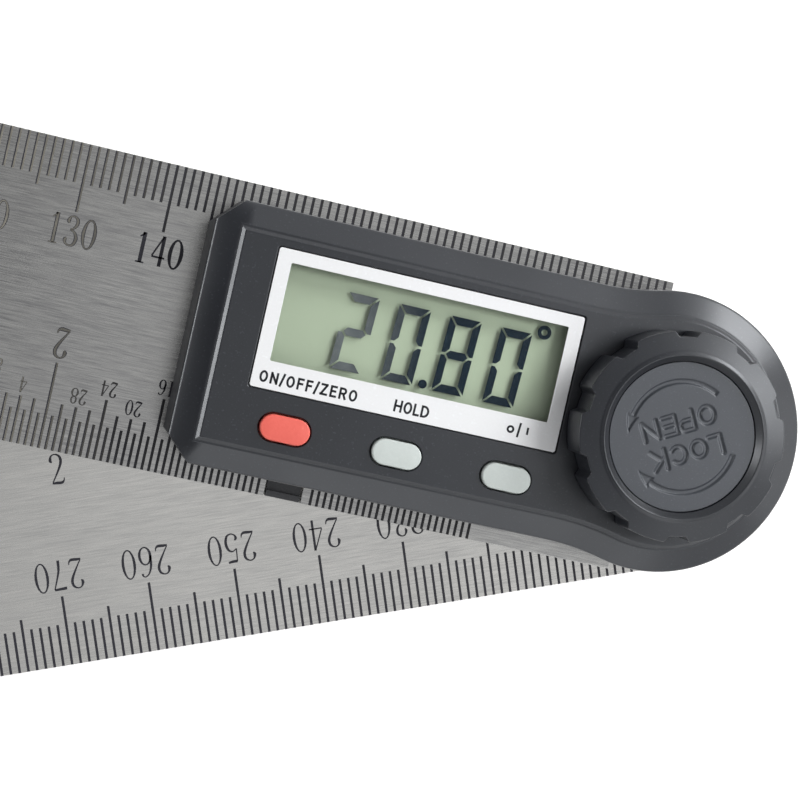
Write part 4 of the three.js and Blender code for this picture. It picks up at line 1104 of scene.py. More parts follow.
@dataclass
class HousingCover:
    """The moulded cover: wall, bevel, step and plateau, hollow, with its openings and bosses."""
    reach: float = 55.2
    half: float = 14.9
    end_radius: float = 16.2
    waist_radius: float = 31.0
    chamfer: float = 2.9
    floor: float = 2.7
    wall_top: float = 11.85
    bevel_top: float = 13.35
    bevel_run: float = 2.7
    ledge: float = 0.2
    top: float = 13.75
    step_run: float = 0.42
    step_soft: float = 0.1
    wall_soft: float = 0.3
    bevel_soft: float = 0.12
    ledge_soft: float = 0.05
    plateau_rim: float = 0.32
    wall: float = 1.4
    shoulder: float = 1.2
    shoulder_top: float = 11.32
    ceiling: float = 12.47
    window_low: float = 13.07
    slot_left: float = -51.1
    slot_right: float = -28.9
    slot_top: float = 6.8
    slot_margin: float = 1.0
    hole_soft: float = 0.1
    knob_hole: float = 8.0
    bosses: tuple[tuple[float, float, float], ...] = (
        (-52.6, -9.5, 1.3), (-52.6, 9.5, 1.3), (9.19, -9.19, 1.9), (9.19, 9.19, 1.9))
    boss_bore: float = 0.9
    posts: tuple[tuple[float, float], ...] = ((-9.8, -9.2), (-9.8, 9.2))
    post_radius: float = 1.6
    post_low: float = 8.2
    post_bore: float = 0.75
    root: float = 0.25

    def outline(self, inset: float, leg: float | None = None) -> np.ndarray:
        """The edge, moved inwards: a round end, two waists, straight sides and two cut corners.

        The round end is an arc about the pivot. Each waist is an arc that touches it and the straight
        side. The corner's cut is an upright plane, so it gets shorter as the edge moves inwards.

        Args:
            inset: how far the edge is moved inwards.
            leg: the length of the cut along each side, if it isn't that of the outer plane.

        Returns:
            The points, counter-clockwise, always the same number of them.
        """
        cut = max(self.chamfer - 2 * inset, 0.0) if leg is None else leg
        reach, half = self.reach - inset, self.half - inset
        waist_y = self.half + self.waist_radius
        waist_x = -math.sqrt((self.end_radius + self.waist_radius) ** 2 - waist_y ** 2)
        meet = math.degrees(math.atan2(waist_y, waist_x))
        upper = np.concatenate([
            arc(0, 0, self.end_radius - inset, 0, meet, 60),
            arc(waist_x, waist_y, self.waist_radius + inset, meet - 180, -90, 16)[1:],
            [(self.slot_right, half), (self.slot_left, half), (-reach + cut, half), (-reach, half - cut)],
        ])
        lower = upper[:0:-1] * np.array([1.0, -1.0])
        return np.concatenate([upper, lower])

    def opening(self, shell: Shell, hole: Outline, low: float) -> np.ndarray:
        """Adds the wall of an opening, from the plateau down, and gives its rings."""
        return shell.sweep(hole, softened([
            (-2 * (self.hole_soft + GUARD), self.top, 0), (0, self.top, self.hole_soft), (0, low, 0)]))

    def build(self, finishes: Finishes, display: "Display", buttons: Sequence["Button"]) -> None:
        """Makes the cover and sets it on the upper arm.

        The battery's slot is one quad left out of the outer and of the inner wall, with its own jambs.

        Args:
            finishes: the materials.
            display: gives the recess and the view.
            buttons: give their holes.
        """
        shell = Shell()
        edge = self.outline(0.0)
        slot = int(np.argmax((edge[:, 1] < 0) & (np.abs(edge[:, 0] - self.slot_left) < SAME)))

        def in_slot(row: np.ndarray, column: np.ndarray) -> np.ndarray:
            """Which quads of a wall are the slot's."""
            return (row == 0) & (column == slot)
        ledge = self.bevel_run + self.ledge
        step = ledge + self.step_run
        outer_steps = [(0.0, self.floor), (0.0, self.slot_top)] + softened([
            (0.0, self.slot_top + self.slot_margin, 0), (0.0, self.wall_top, self.wall_soft),
            (self.bevel_run, self.bevel_top, self.bevel_soft), (ledge, self.bevel_top, self.ledge_soft),
            (step, self.top, self.step_soft), (step + self.plateau_rim, self.top, 0)], steps=5)
        outer = shell.sweep(self.outline, outer_steps, skip=in_slot)
        leg = self.chamfer - self.wall * (2 - math.sqrt(2))
        inside = self.wall + self.shoulder
        inner_steps = [(self.wall, z) for z in (self.floor, self.slot_top, self.shoulder_top)]
        inner_steps += [(inside, self.shoulder_top), (inside, self.ceiling)]
        inner = shell.sweep(lambda inset: self.outline(inset, leg), inner_steps, skip=in_slot)
        shell.grid(np.stack([outer[0], inner[0]]), skip=lambda row, column: column == slot)
        shell.grid(np.stack([outer[1], inner[1]]), skip=lambda row, column: column != slot)
        for column in (slot, slot + 1):
            jamb = np.stack([outer[0][column], outer[1][column], inner[1][column], inner[0][column]])
            shell.add(jamb, [[0, 1, 2, 3]])
        through = [self.opening(shell, hole, self.ceiling)
                   for hole in (*(button.hole() for button in buttons), circle(0, 0, self.knob_hole, LARGE))]
        recess = self.opening(shell, display.recess(), self.window_low)
        view = shell.sweep(display.opening(), [(0.0, self.window_low), (0.0, self.ceiling)])
        shell.fill([recess[-1], view[0]])
        shell.fill([outer[-1], *(rings[0] for rings in through), recess[0]])
        shell.fill([inner[-1], *(rings[-1] for rings in through), view[1]])
        for x, y, radius in self.bosses:
            tube(shell, x, y, radius, self.boss_bore, self.floor, self.shoulder_top + self.root)
        for x, y in self.posts:
            tube(shell, x, y, self.post_radius, self.post_bore, self.post_low, self.ceiling + self.root)
        shell.install("housing_shell", finishes["housing_plastic"], "upper_arm", "black_plastic",
                      "housing_cover", sharp=26.0)


def tube(shell: Shell, x: float, y: float, radius: float, bore: float, low: float, high: float,
         sides: int = 28) -> None:
    """Adds a closed tube: a rectangle carried round a circle.

    Args:
        shell: where it goes.
        x, y: its axis.
        radius, bore: its outer and inner radius.
        low, high: its ends.
        sides: the steps round it.
    """
    wall = radius - bore
    shell.sweep(circle(x, y, radius, sides), [(0, low), (0, high), (wall, high), (wall, low)], closed=True)


# Display

@dataclass
class Display:
    """The white frame, the clear window, the reflecting ground and the dark figures."""
    x: float = -30.1
    frame_y: float = 2.85
    view_y: float = 3.7
    frame_length: float = 35.4
    frame_width: float = 15.6
    corner: float = 0.3
    view_length: float = 32.15
    view_width: float = 11.0
    clearance: float = 0.15
    view_margin: float = 0.5
    frame_low: float = 13.62
    frame_top: float = 13.75
    frame_soft: float = 0.05
    view_corner: float = 0.15
    glass_gap: float = 0.02
    glass_margin: tuple[float, float] = (1.6, 1.7)
    glass_low: float = 10.42
    ground_top: float = 11.9
    figure_low: float = 12.36
    figure_top: float = 12.385
    glass_top: float = 12.42
    figure_height: float = 8.68
    figure_width: float = 3.65
    level_bar: float = 0.92
    upright_bar: float = 0.83
    bar_gap: float = 0.15
    slant: float = 0.04
    figure_y: float = -1.13
    places: tuple[float, float, float, float] = (-37.46, -31.51, -25.58, -19.62)
    point: tuple[float, float, float] = (-28.67, -0.68, 0.5)
    ring: tuple[float, float, float, float] = (-16.31, 8.0, 0.8, 0.35)

    def box(self, y: float, length: float, width: float, more: float, corner: float) -> Outline:
        """A rounded box about the display's middle line, made larger all round."""
        return rounded_box(self.x, y, length + 2 * more, width + 2 * more, corner)

    def recess(self) -> Outline:
        """The recess in the plateau that takes the window and the frame."""
        return self.box(self.frame_y, self.frame_length, self.frame_width, self.clearance, self.corner)

    def opening(self, more: float | None = None) -> Outline:
        """The opening through the cover, larger than the view by the margin or by the given width."""
        margin = self.view_margin if more is None else more
        return self.box(self.view_y, self.view_length, self.view_width, margin, self.view_corner)

    def lit_parts(self) -> dict[str, np.ndarray]:
        """The seven bars of a figure, in a box from 0 to the figure's width and height.

        A level bar has slanted ends, an upright bar has a slanted and a pointed one, and the middle
        bar has two points. The bars of one side are mirrored to the other.

        Returns:
            The points of each bar by its letter, a on top, round to f, and g in the middle.
        """
        w, h, g = self.figure_width, self.figure_height, self.bar_gap
        u, v = self.level_bar, self.upright_bar
        mid = h / 2
        level = np.array([(g, h), (w - g, h), (w - v - g, h - u), (v + g, h - u)])
        upright = np.array([(0.0, h - g), (v, h - u - g), (v, mid + u / 2 + g), (v / 2, mid + g),
                            (0.0, mid + g)])
        middle = np.array([(g + v / 2, mid), (g + v, mid + u / 2), (w - g - v, mid + u / 2),
                           (w - g - v / 2, mid), (w - g - v, mid - u / 2), (g + v, mid - u / 2)])

        def mirrored(bar: np.ndarray, across: bool) -> np.ndarray:
            """The bar on the figure's other side, or in its other half."""
            return bar * (-1, 1) + (w, 0) if across else bar * (1, -1) + (0, h)
        low = mirrored(upright, False)
        return {"a": level, "b": mirrored(upright, True), "c": mirrored(low, True),
                "d": mirrored(level, False), "e": low, "f": upright, "g": middle}

    def figures(self, shell: Shell) -> None:
        """Adds the figures that show the angle between the arms, with their point and degree ring.

        Args:
            shell: where they go.
        """
        shown = {"0": "abcdef", "2": "abged", "8": "abcdefg"}
        parts = self.lit_parts()
        for figure, x in zip("2080", self.places):
            for letter in shown[figure]:
                flat = parts[letter].copy()
                flat[:, 0] += x - self.figure_width / 2 + self.slant * (flat[:, 1] - self.figure_height / 2)
                flat[:, 1] += self.figure_y
                self.slab(shell, flat)
        x, y, radius = self.point
        self.slab(shell, circle(x, y, radius, SMALL)(0.0))
        x, y, radius, bore = self.ring
        tube(shell, x, y, radius, bore, self.figure_low, self.figure_top, 32)

    def slab(self, shell: Shell, flat: np.ndarray) -> None:
        """Adds a thin slab of the given outline at the figures' height."""
        shell.solid(lambda inset: flat, [(0.0, self.figure_low), (0.0, self.figure_top)])

    def build(self, finishes: Finishes) -> None:
        """Makes the frame, the ground, the front glass and the figures.

        Args:
            finishes: the materials.
        """
        frame_shell, ground, front, figures = Shell(), Shell(), Shell(), Shell()
        outer = self.box(self.frame_y, self.frame_length, self.frame_width, 0.0, self.corner)
        frame_shell.plate(outer, self.frame_low, self.frame_top, self.frame_soft,
                          [(self.opening(0.0), self.frame_soft)])
        more_x, more_y = self.glass_margin
        glass = rounded_box(self.x, self.view_y, self.view_length + 2 * more_x, self.view_width + 2 * more_y,
                            self.corner)
        ground.plate(glass, self.glass_low, self.ground_top, self.frame_soft)
        front.plate(glass, self.ground_top + self.glass_gap, self.glass_top, self.frame_soft)
        self.figures(figures)
        for shell, name, finish, slot, *nodes in (
                (frame_shell, "display_frame", "bezel_print", "white_print", "display_bezel"),
                (ground, "display_ground_plate", "display_ground", "display_glass", "lcd_glass"),
                (front, "display_front_glass", "display_front", "display_glass", "lcd_glass"),
                (figures, "display_figures", "display_figures", "display_glass")):
            shell.install(name, finishes[finish], "upper_arm", slot, *nodes)


def bow(x: float, y: float, rx: float, ry: float, start: float, end: float, sides: int) -> Line:
    """Points on an ellipse, with angles in degrees."""
    angle = np.radians(np.linspace(start, end, sides + 1))
    return list(zip((x + rx * np.cos(angle)).tolist(), (y + ry * np.sin(angle)).tolist()))


@dataclass(frozen=True)
class Label:
    """A short word printed on the white frame, in plain letters with strokes of even thickness.

    Each letter is drawn as middle lines in a box one unit high. A line becomes a ribbon: it is moved
    to both sides by half the thickness. The letters are spread evenly from left to right.
    """
    name: str
    text: str = ""
    left: float = 0.0
    right: float = 0.0
    base: float = 0.0
    height: float = 1.0
    signs: tuple[Line, ...] = ()
    thickness: float = 0.25
    stretch: float = 1.17
    low: float = 13.745
    high: float = 13.758

    def letter(self, letter: str) -> tuple[float, list[Line]]:
        """One letter, in a box one unit high.

        Args:
            letter: the letter.

        Returns:
            Its width and its middle lines.
        """
        s = self.thickness / self.height / 2
        t, middle = 1 - s, 0.52
        stem = [(s, 0), (s, 1)]
        table: dict[str, tuple[float, list[Line]]] = {
            "O": (0.64, [bow(0.32, 0.5, 0.32 - s, 0.5 - s, 0, 360, 28)]),
            "N": (0.61, [stem, [(0.61 - s, 0), (0.61 - s, 1)], [(s, t), (0.61 - s, s)]]),
            "F": (0.50, [stem, [(s, t), (0.50, t)], [(s, middle), (0.46, middle)]]),
            "Z": (0.56, [[(0.02, t), (0.54, t)], [(0.0, s), (0.56, s)], [(0.47, t), (s, s)]]),
            "E": (0.52, [stem, [(s, t), (0.51, t)], [(s, middle), (0.47, middle)], [(s, s), (0.52, s)]]),
            "R": (0.58, [stem, [(s, t), (0.32, t),
                                *bow(0.32, (t + 0.48) / 2, 0.17, (t - 0.48) / 2, 80, -80, 8),
                                (0.32, 0.48), (s, 0.48)], [(0.33, 0.48), (0.52, 0.0)]]),
            "H": (0.62, [stem, [(0.62 - s, 0), (0.62 - s, 1)], [(s, 0.5), (0.62 - s, 0.5)]]),
            "L": (0.48, [stem, [(s, s), (0.48, s)]]),
            "D": (0.63, [stem, [(s, t), (0.24, t), *bow(0.24, 0.5, 0.39 - s, 0.5 - s, 80, -80, 12),
                                (0.24, s), (s, s)]]),
            "/": (0.28, [[(0.02, -0.08), (0.26, 1.06)]]),
        }
        return table[letter]

    def lines(self) -> list[np.ndarray]:
        """The whole label in its place.

        Returns:
            The middle lines of every stroke, in millimetres.
        """
        drawn = [self.letter(letter) for letter in self.text]
        scale = np.array([self.stretch, 1.0]) * self.height
        total = sum(width for width, _ in drawn) * scale[0]
        gap = (self.right - self.left - total) / max(len(drawn) - 1, 1)
        found = [np.array(line, float) for line in self.signs]
        start = self.left
        for width, strokes in drawn:
            found += [np.array([start, self.base]) + np.array(line, float) * scale for line in strokes]
            start += width * scale[0] + gap
        return found

    def build(self, finishes: Finishes) -> None:
        """Makes the word as thin ribbons on the frame.

        Args:
            finishes: the materials.
        """
        shell = Shell()
        for line in self.lines():
            closed = bool(np.hypot(*(line[0] - line[-1])) < SAME)
            run = line[:-1] if closed else line
            way = np.roll(run, -1, axis=0) - np.roll(run, 1, axis=0) if closed else np.gradient(run, axis=0)
            shell.ribbon(widened(run, way, self.thickness), closed, self.low, self.high)
        shell.install(self.name, finishes["label_ink"], "upper_arm", "white_print")


# Buttons

@dataclass
class Button:
    """A rubbery push button: a stadium with a soft, slightly domed top, a flange and a stem."""
    name: str
    x: float
    finish: str
    slot: str
    y: float = -8.9
    length: float = 5.62
    width: float = 2.92
    clearance: float = 0.19
    top: float = 14.45
    crown: float = 0.12
    soft: float = 0.38
    ridge: float = 0.02
    arch_steps: int = 7
    flange: float = 0.5
    flange_low: float = 11.82
    flange_top: float = 12.42
    stem_low: float = 9.5
    stem_radius: float = 1.0
    root: float = 0.1

    def hole(self) -> Outline:
        """The hole in the cover."""
        more = 2 * self.clearance
        return stadium(self.x, self.y, self.length + more, self.width + more)

    def build(self, finishes: Finishes) -> None:
        """Makes the button.

        The top is a low arch over the inset: its height falls with the square of the distance from
        the middle line, then rounds down into the side.

        Args:
            finishes: the materials.
        """
        half = self.width / 2
        insets = np.linspace(half - self.ridge, self.soft, self.arch_steps)
        arch = [(float(i), float(self.top - self.crown * ((half - i) / half) ** 2)) for i in insets]
        rim = arch[-1][1]
        side = softened([(0.0, self.flange_top, 0), (0.0, rim - self.ridge, self.soft), (self.soft, rim, 0)])
        profile = [(-self.flange, self.flange_low), (-self.flange, self.flange_top), *side[:-1], *arch[::-1]]
        shell = Shell()
        shell.solid(stadium(self.x, self.y, self.length, self.width), profile)
        shell.solid(circle(self.x, self.y, self.stem_radius, SMALL),
                    [(0.0, self.stem_low), (0.0, self.flange_low + self.root)])
        shell.install(f"{self.name}_cap", finishes[self.finish], self.name, self.slot, self.name, sharp=40.0)


# Lock knob

@dataclass
class LockKnob:
    """The knob: ten shallow grip notches, a falling rim, a sloped lip and a hollow underside."""
    radius: float = 11.85
    low: float = 14.05
    top: float = 20.25
    rim_fall: float = 0.7
    rim_depth: float = 0.3
    soft: float = 0.13
    band: float = 0.6
    notches: int = 10
    notch_depth: float = 0.7
    mouth: float = 15.5
    notch_floor: float = 9.0
    turn: float = 28.2
    lip_radius: float = 9.15
    lip_soft: float = 0.14
    recess_soft: float = 0.08
    pocket_soft: float = 0.12
    bead: tuple[float, float] = (0.42, 0.25)
    recess_radius: float = 8.45
    lip_drop: float = 0.75
    seat: float = 18.75
    throat: float = 4.3
    nut_pocket: float = 6.1
    nut_seat: float = 17.35
    sides: int = 900

    def notch(self, angle: np.ndarray) -> np.ndarray:
        """How deep the grip is at each angle: flat floors with smooth ramps, t squared times (3 - 2t).

        Args:
            angle: the angles about the axis.

        Returns:
            The depth at each.
        """
        pitch = TURN / self.notches
        off = (angle - math.radians(self.turn) + pitch / 2) % pitch - pitch / 2
        mouth, floor = math.radians(self.mouth / 2), math.radians(self.notch_floor / 2)
        t = np.clip((mouth - np.abs(off)) / (mouth - floor), 0.0, 1.0)
        return self.notch_depth * t * t * (3 - 2 * t)

    def build(self, finishes: Finishes) -> None:
        """Makes the knob: one closed profile carried round the axis, notched where it is outside.

        Each profile point has a radius, a height and a share of the notch depth, which is 1 on the
        grip and 0 on the round surfaces inside. Where a notch moves the rim's points inwards they also
        rise along the rim's slope.

        Args:
            finishes: the materials.
        """
        angle = np.linspace(0.0, TURN, self.sides, endpoint=False)
        r = self.radius
        edge = self.top - self.rim_fall
        foot, foot_z = self.lip_radius + self.bead[0], self.top - self.bead[1]
        slope = (foot_z - edge) / (r - foot)
        start = (foot + self.band, foot_z - self.band * slope, 0)
        under = (self.nut_pocket + self.band, self.low, 0)
        grip = softened([start, (r, edge, self.soft), (r, self.low, self.soft), under], steps=6)
        inside = softened([
            under, (self.nut_pocket, self.low, self.pocket_soft), (self.nut_pocket, self.nut_seat, 0.0),
            (self.throat, self.nut_seat, 0.0), (self.throat, self.seat, 0.0),
            (self.recess_radius, self.seat, 0.0),
            (self.recess_radius, self.top - self.lip_drop, self.recess_soft),
            (self.lip_radius, self.top, self.lip_soft), (foot, foot_z, self.lip_soft), start], steps=6)
        share = [0.0] + [1.0] * (len(grip) - 2) + [0.0] * (len(inside) - 1)
        rows = [(*point, part) for point, part in zip(grip + inside[1:-1], share)]
        depth = self.notch(angle)
        points = np.stack([
            np.stack([(radius - part * depth) * np.cos(angle), (radius - part * depth) * np.sin(angle),
                      z + part * depth * (slope if z > edge - self.rim_depth else 0.0)], axis=1)
            for radius, z, part in rows])
        shell = Shell()
        shell.grid(points, along=True)
        shell.install("knob_grip", finishes["knob_plastic"], "lock_knob", "knob_plastic", "lock_knob",
                      sharp=34.0)


def bent(x: float, y: float, rx: float, ry: float, start: float, end: float, sides: int) -> list[Segment]:
    """An arc of an ellipse as straight segments, with angles in degrees."""
    line = bow(x, y, rx, ry, start, end, sides)
    return [(*first, *last) for first, last in zip(line[:-1], line[1:])]


@dataclass
class KnobCap:
    """The cap in the knob: a disc with two words and two curved arrows sunk into it."""
    radius: float = 8.375
    low: float = 18.8
    top: float = 19.4
    soft: float = 0.08
    low_soft: float = 0.05
    centre: float = 0.06
    turn: float = 208.2
    knob_turn: float = 28.2
    depth: float = 0.2
    stroke: float = 0.42
    edge: float = 0.24
    arrow_radius: float = 6.2
    arrow_stroke: float = 0.5
    arrow_start: float = 35.0
    arrow_end: float = 141.5
    head_half: float = 0.6
    head_length: float = 1.75
    rings: int = 134
    sides: int = 440

    def letters(self) -> list[Segment]:
        """The two words.

        Returns:
            The middle lines of their strokes, as segments in the words' own frame.
        """
        return [
            # The word OPEN
            *bent(-3.36, -1.6, 0.85, 0.95, 0, 360, 24),
            (-1.7, -2.65, -1.7, -0.5), (-1.7, -0.5, -0.7, -0.5), (-1.7, -1.66, -0.7, -1.66),
            *bent(-0.7, -1.08, 0.58, 0.58, 90, -90, 10),
            (0.34, -2.6, 0.34, -0.55), (0.34, -0.55, 1.8, -0.55), (0.34, -1.58, 1.66, -1.58),
            (0.34, -2.6, 1.8, -2.6), (2.52, -2.65, 2.52, -0.6), (4.17, -2.65, 4.17, -0.6),
            (2.52, -0.6, 4.17, -2.65),
            # The word LOCK
            (-4.2, 3.0, -4.2, 0.88), (-4.2, 0.88, -2.85, 0.88),
            *bent(-1.48, 1.82, 0.83, 0.93, 0, 360, 24), *bent(0.93, 1.82, 0.85, 0.93, 42, 318, 20),
            (2.42, 0.7, 2.42, 2.95), (3.9, 2.9, 2.5, 1.6), (2.85, 1.95, 4.05, 0.7),
        ]

    def sunk(self, x: np.ndarray, y: np.ndarray) -> np.ndarray:
        """How far inside a groove each point of the cap is, from 0 outside to 1 on the floor.

        For the strokes it is the distance to the nearest segment against half the stroke's width.
        An arrow's shaft is the distance to its circle between two angles, and its head is the area
        inside three straight edges. A smooth step over the groove's edge makes its sloped wall.

        Args:
            x, y: the points in the words' own frame.

        Returns:
            The share of the depth at each point.
        """
        nearest = np.full(x.shape, np.inf)
        for a, b, c, d in self.letters():
            dx, dy = c - a, d - b
            t = np.clip(((x - a) * dx + (y - b) * dy) / (dx * dx + dy * dy), 0.0, 1.0)
            nearest = np.minimum(nearest, np.hypot(x - a - t * dx, y - b - t * dy))
        outside = nearest - self.stroke / 2
        far = np.hypot(x, y)
        knob_x, knob_y = seen_turned(x, y, self.knob_turn - self.turn)
        around = np.degrees(np.arctan2(np.abs(knob_y), knob_x))
        past = np.maximum(self.arrow_start - around, around - self.arrow_end)
        across = np.abs(far - self.arrow_radius)
        shaft = np.maximum(across - self.arrow_stroke / 2, np.radians(past) * far)
        along = np.radians(around - self.arrow_end) * self.arrow_radius
        slope = math.hypot(self.head_half, self.head_length)
        side = across * self.head_length + (along - self.head_length) * self.head_half
        head = np.maximum(-along, side / slope)
        outside = np.minimum(outside, np.minimum(shaft, head))
        t = np.clip(0.5 - outside / self.edge, 0.0, 1.0)
        return t * t * (3 - 2 * t)

    def build(self, finishes: Finishes) -> None:
        """Makes the cap: a polar grid over the top, then the soft edge, the side and the underside.

        The height of the top is the cap's top less the groove's depth times the share from sunk().

        Args:
            finishes: the materials.
        """
        angle = np.linspace(0.0, TURN, self.sides, endpoint=False)
        flat_radius = self.radius - 2 * self.soft
        ring = np.linspace(self.centre, flat_radius, self.rings)[:, None]
        x, y = ring * np.cos(angle), ring * np.sin(angle)
        top = np.stack([x, y, self.top - self.depth * self.sunk(*seen_turned(x, y, self.turn))], axis=-1)
        edge = softened([(flat_radius, self.top, 0), (self.radius, self.top, self.soft),
                         (self.radius, self.low, self.low_soft), (self.centre, self.low, 0)])[1:]
        rows = np.stack([raised(radius * np.stack([np.cos(angle), np.sin(angle)], axis=1), height)
                         for radius, height in edge])
        shell = Shell()
        shell.grid(np.concatenate([top, rows]))
        shell.fill([top[0]])
        shell.fill([rows[-1]])
        shell.install("knob_cap_disc", finishes["cap_plastic"], "lock_knob", "knob_plastic", "knob_cap",
                      sharp=50.0)


def seen_turned(x: np.ndarray, y: np.ndarray, degrees: float) -> tuple[np.ndarray, np.ndarray]:
    """The points as seen from a frame turned by an angle."""
    c, s = math.cos(math.radians(degrees)), math.sin(math.radians(degrees))
    return c * x + s * y, c * y - s * x


# Carried-over solids

CARRIED: dict[str, tuple[str, ...]] = {
    "sintered_bronze": ("pivot_bush",),
    "white_sheet": ("blade_washer",),
    "clear_window": ("display_window",),
    "strip_rubber": ("zebra_strip_upper", "zebra_strip_lower"),
    "board_laminate": ("circuit_board", "encoder_rotor"),
    "potting_resin": ("processor_blob",),
    "spring_metal": ("dome_switch_on_off", "dome_switch_hold", "dome_switch_units", "battery_contact_plus",
                     "battery_contact_minus", "wave_washer"),
    "turned_steel": ("case_screw_1", "case_screw_2", "case_screw_3", "case_screw_4", "board_screw_1",
                     "board_screw_2", "coin_cell", "pivot_hub", "clamp_washer"),
    "tray_plastic_lit": ("battery_tray",),
    "machined_brass": ("rotor_carrier", "knob_nut"),
}


def dress_carried(finishes: Finishes) -> None:
    """Gives each solid that stays as it is its finish.

    Args:
        finishes: the materials.
    """
    for finish, nodes in CARRIED.items():
        for name in nodes:
            mesh = frame["nodes"][name].data
            mesh.materials.clear()
            mesh.materials.append(finishes[finish])
            log.info("%s finished as %s", name, finish)


# Stage

@dataclass(frozen=True)
class Stage:
    """The floor, the lamps, the world's light and the camera."""
    focal: float = 98.752
    sensor: float = 36.0
    place: tuple[float, float, float] = (-0.07416938, 0.00284799, 0.25391578)
    right: tuple[float, float, float] = (0.96080538, 0.22103112, 0.16732682)
    down: tuple[float, float, float] = (0.21352325, -0.97497918, 0.06183378)
    forward: tuple[float, float, float] = (0.17680736, -0.02368206, -0.98396053)
    floor_z: float = -0.00005
    floor_size: float = 6.0
    sky: float = 0.12
    sheen: float = 0.26
    horizon: tuple[float, float] = (0.36, 0.66)
    middle: tuple[float, float, float] = (-0.06, 0.0, 0.01)
    far: float = 0.8
    clip: tuple[float, float] = (0.01, 20.0)
    floor_tone: float = 0.9
    floor_rough: float = 0.9
    glow_reach: tuple[float, float] = (0.3, 1.1)
    glow: tuple[float, float] = (0.3, 0.92)

    def camera(self) -> None:
        """Sets the camera where the photograph was taken from."""
        data = bpy.data.cameras.new("photo_camera")
        data.sensor_width = self.sensor
        data.sensor_fit = "HORIZONTAL"
        data.lens = self.focal
        data.clip_start, data.clip_end = self.clip
        camera = bpy.data.objects.new("photo_camera", data)
        bpy.context.scene.collection.objects.link(camera)
        axes = Matrix((self.right, [-v for v in self.down], [-v for v in self.forward])).transposed()
        camera.matrix_world = Matrix.Translation(self.place) @ axes.to_4x4()
        bpy.context.scene.camera = camera

    def lamp(self, name: str, azimuth: float, elevation: float, size: float, power: float,
             kept_off: bpy.types.Collection | None = None) -> None:
        """Adds a square soft lamp that looks at the middle.

        Args:
            name: its name.
            azimuth, elevation: the direction that it shines from, in degrees.
            size: its side in metres.
            power: its power in watts.
            kept_off: the pieces that it doesn't light.
        """
        around, up = math.radians(azimuth), math.radians(elevation)
        aim = Vector(self.middle)
        place = aim + self.far * Vector((math.cos(up) * math.cos(around), math.cos(up) * math.sin(around),
                                         math.sin(up)))
        data = bpy.data.lights.new(name, "AREA")
        data.shape = "SQUARE"
        data.size = size
        data.energy = power
        lamp = bpy.data.objects.new(name, data)
        bpy.context.scene.collection.objects.link(lamp)
        turned = (aim - place).to_track_quat("-Z", "Y").to_matrix().to_4x4()
        lamp.matrix_world = Matrix.Translation(place) @ turned
        if kept_off:
            lamp.light_linking.receiver_collection = kept_off

    def metal_pieces(self) -> bpy.types.Collection:
        """The bright metal pieces, as a set that the small strong lamps are kept off.

        A small lamp mirrored in a flat blade is a white glare that hides its marks. A card between the
        two does this in a studio.

        Returns:
            The collection.
        """
        pieces = bpy.data.collections.new("metal_pieces")
        for piece in bpy.context.scene.objects:
            names = {slot.material.name for slot in piece.material_slots if slot.material}
            if names & BRIGHT_METALS:
                pieces.objects.link(piece)
        for member in pieces.collection_objects:
            member.light_linking.link_state = "EXCLUDE"
        return pieces

    def world(self) -> None:
        """White behind the object, and a plain light on it.

        In reflections the world is white near the horizon and grey overhead: its strength falls from
        one to the sheen as the direction's height goes from low to high.
        """
        world = bpy.data.worlds.new("studio")
        bpy.context.scene.world = world
        world.use_nodes = True
        tree = world.node_tree
        background = tree.nodes["Background"]
        above = node(tree, "SeparateXYZ", node(tree, "TexCoord").outputs["Generated"]).outputs["Z"]
        fall = ranged(tree, above, self.horizon, (1.0, self.sheen))
        path = node(tree, "LightPath").outputs
        seen = math_node(tree, "MAXIMUM", path["Is Camera Ray"], path["Is Transmission Ray"])
        mirrored = math_node(tree, "MULTIPLY", path["Is Glossy Ray"], fall)
        strength = math_node(tree, "MAXIMUM", self.sky, math_node(tree, "MAXIMUM", seen, mirrored))
        fill_inputs(tree, background, {"Color": (1.0, 1.0, 1.0, 1.0), "Strength": strength})

    def floor(self) -> None:
        """A pale floor that keeps the shadow near the object and is white where no shadow falls.

        For the camera and for mirrors it also glows, more with the distance from the pivot.
        """
        mesh = bpy.data.meshes.new("floor")
        half = self.floor_size / 2
        corners = [(x * half, y * half, self.floor_z) for x, y in ((-1, -1), (1, -1), (1, 1), (-1, 1))]
        mesh.from_pydata(corners, [], [(0, 1, 2, 3)])
        white = Tree("floor_white")
        tree = white.tree
        path = node(tree, "LightPath").outputs
        seen = math_node(tree, "MAXIMUM", path["Is Camera Ray"], path["Is Glossy Ray"])
        away = node(tree, "VectorMath", white.vector, options={"operation": "LENGTH"}).outputs["Value"]
        glow = ranged(tree, away, self.glow_reach, self.glow)
        white.feed(Base_Color=(*[self.floor_tone] * 3, 1.0), Roughness=self.floor_rough,
                   Specular_IOR_Level=0.0, Emission_Color=(1.0, 1.0, 1.0, 1.0),
                   Emission_Strength=math_node(tree, "MULTIPLY", seen, glow))
        mesh.materials.append(white.material)
        floor = bpy.data.objects.new("floor", mesh)
        bpy.context.scene.collection.objects.link(floor)

    def build(self) -> None:
        """Builds the whole stage."""
        self.camera()
        self.world()
        self.floor()
        metal = self.metal_pieces()
        self.lamp("key_lamp", 21.0, 50.0, 0.26, 3.0, metal)
        self.lamp("top_lamp", -15.0, 74.0, 0.55, 0.66)
        self.lamp("rim_lamp", 45.0, 24.0, 0.28, 3.9, metal)
        self.lamp("broad_lamp", 66.0, 32.0, 0.6, 0.8)
        self.lamp("side_lamp", 0.0, 20.0, 0.6, 0.9)
        self.lamp("front_lamp", -45.0, 44.0, 0.5, 1.0)
        self.lamp("low_lamp", -78.0, 30.0, 0.45, 0.9)
        self.lamp("left_lamp", 180.0, 12.0, 0.22, 2.2, metal)
        bpy.context.scene.view_settings.view_transform = "Standard"


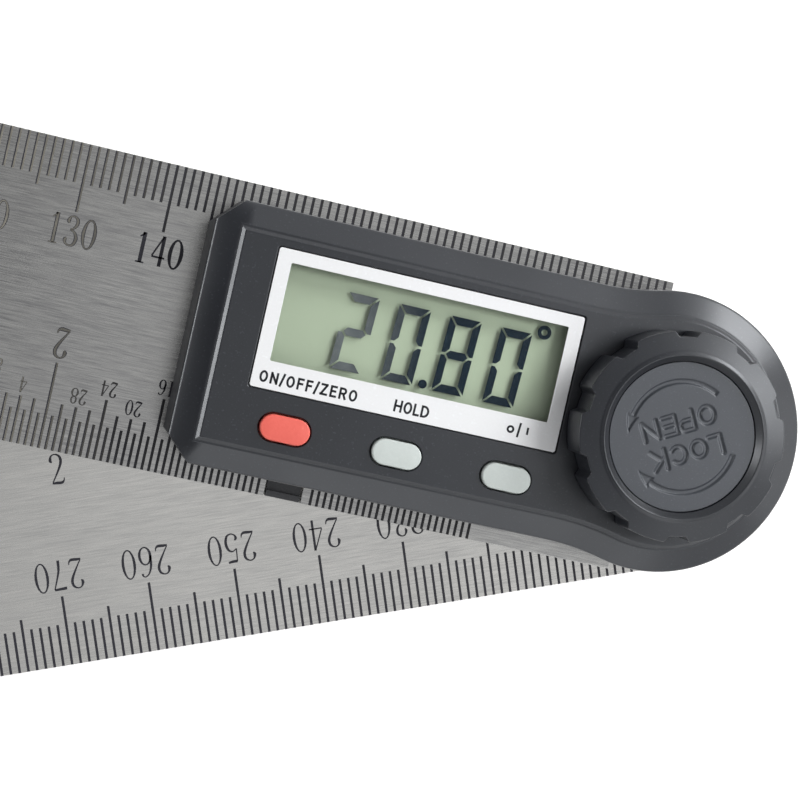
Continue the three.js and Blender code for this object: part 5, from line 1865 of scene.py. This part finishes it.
def main() -> None:
    """Builds the finishes, every sub-assembly and the stage, and logs each piece's face count."""
    logging.basicConfig(level=logging.INFO, format="%(name)s: %(message)s")
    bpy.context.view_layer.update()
    build_groups()
    finishes = build_finishes()
    notch = (-42.2, -37.8, -14.2)
    hub_hole, hub_flat, screw_hole, hole_soft = 6.15, 5.35, 0.9, 0.04
    bush_hole, bush_sides, bush_soft = 6.45, 64, 0.05
    cover = HousingCover()
    screws = [(circle(x, y, screw_hole, SMALL), hole_soft) for x, y, _ in cover.bosses]
    Blade("upper_blade", "upper_arm", 1.5, "upper_steel", notch=notch).build(
        finishes, [(circle(0, 0, bush_hole, bush_sides), bush_soft), *screws], 0.0)
    Blade("lower_blade", "lower_arm", 0.0, "lower_steel_lit", seat=(8.15, 0.6)).build(
        finishes, [(flatted(hub_hole, hub_flat), hole_soft)], ARM_ANGLE)
    Scale("upper_scale", "upper_arm", 2.7, mark=0.33, notch=notch[:2], figures=Figures(weight=1.28),
          worn_and_lit=True).build(finishes, 0.0)
    Scale("lower_scale", "lower_arm", 1.2, lengths=(4.8, 6.05, 8.0), tall=3.58, gap=0.6, side=-1,
          first=400, step=-1, figures=Figures(weight=0.88)).build(finishes, ARM_ANGLE)
    display = Display()
    buttons = [
        Button("button_on_off", -42.9, "red_rubber", "red_button"),
        Button("button_hold", -30.1, "grey_rubber", "grey_button"),
        Button("button_units", -17.3, "grey_rubber", "grey_button"),
    ]
    cover.build(finishes, display, buttons)
    display.build(finishes)
    for button in buttons:
        button.build(finishes)
    Label("label_power", "ON/OFF/ZERO", -46.95, -35.78, -4.27, 1.32).build(finishes)
    Label("label_hold", "HOLD", -31.55, -27.45, -4.31, 1.36).build(finishes)
    Label("label_units", signs=(bow(-17.99, -3.43, 0.32, 0.32, 0, 360, 24),
                                [(-16.95, -2.51), (-17.08, -4.17)],
                                [(-16.02, -2.86), (-16.01, -3.68)])).build(finishes)
    LockKnob().build(finishes)
    KnobCap().build(finishes)
    dress_carried(finishes)
    Stage().build()


if __name__ == "__main__":
    main()
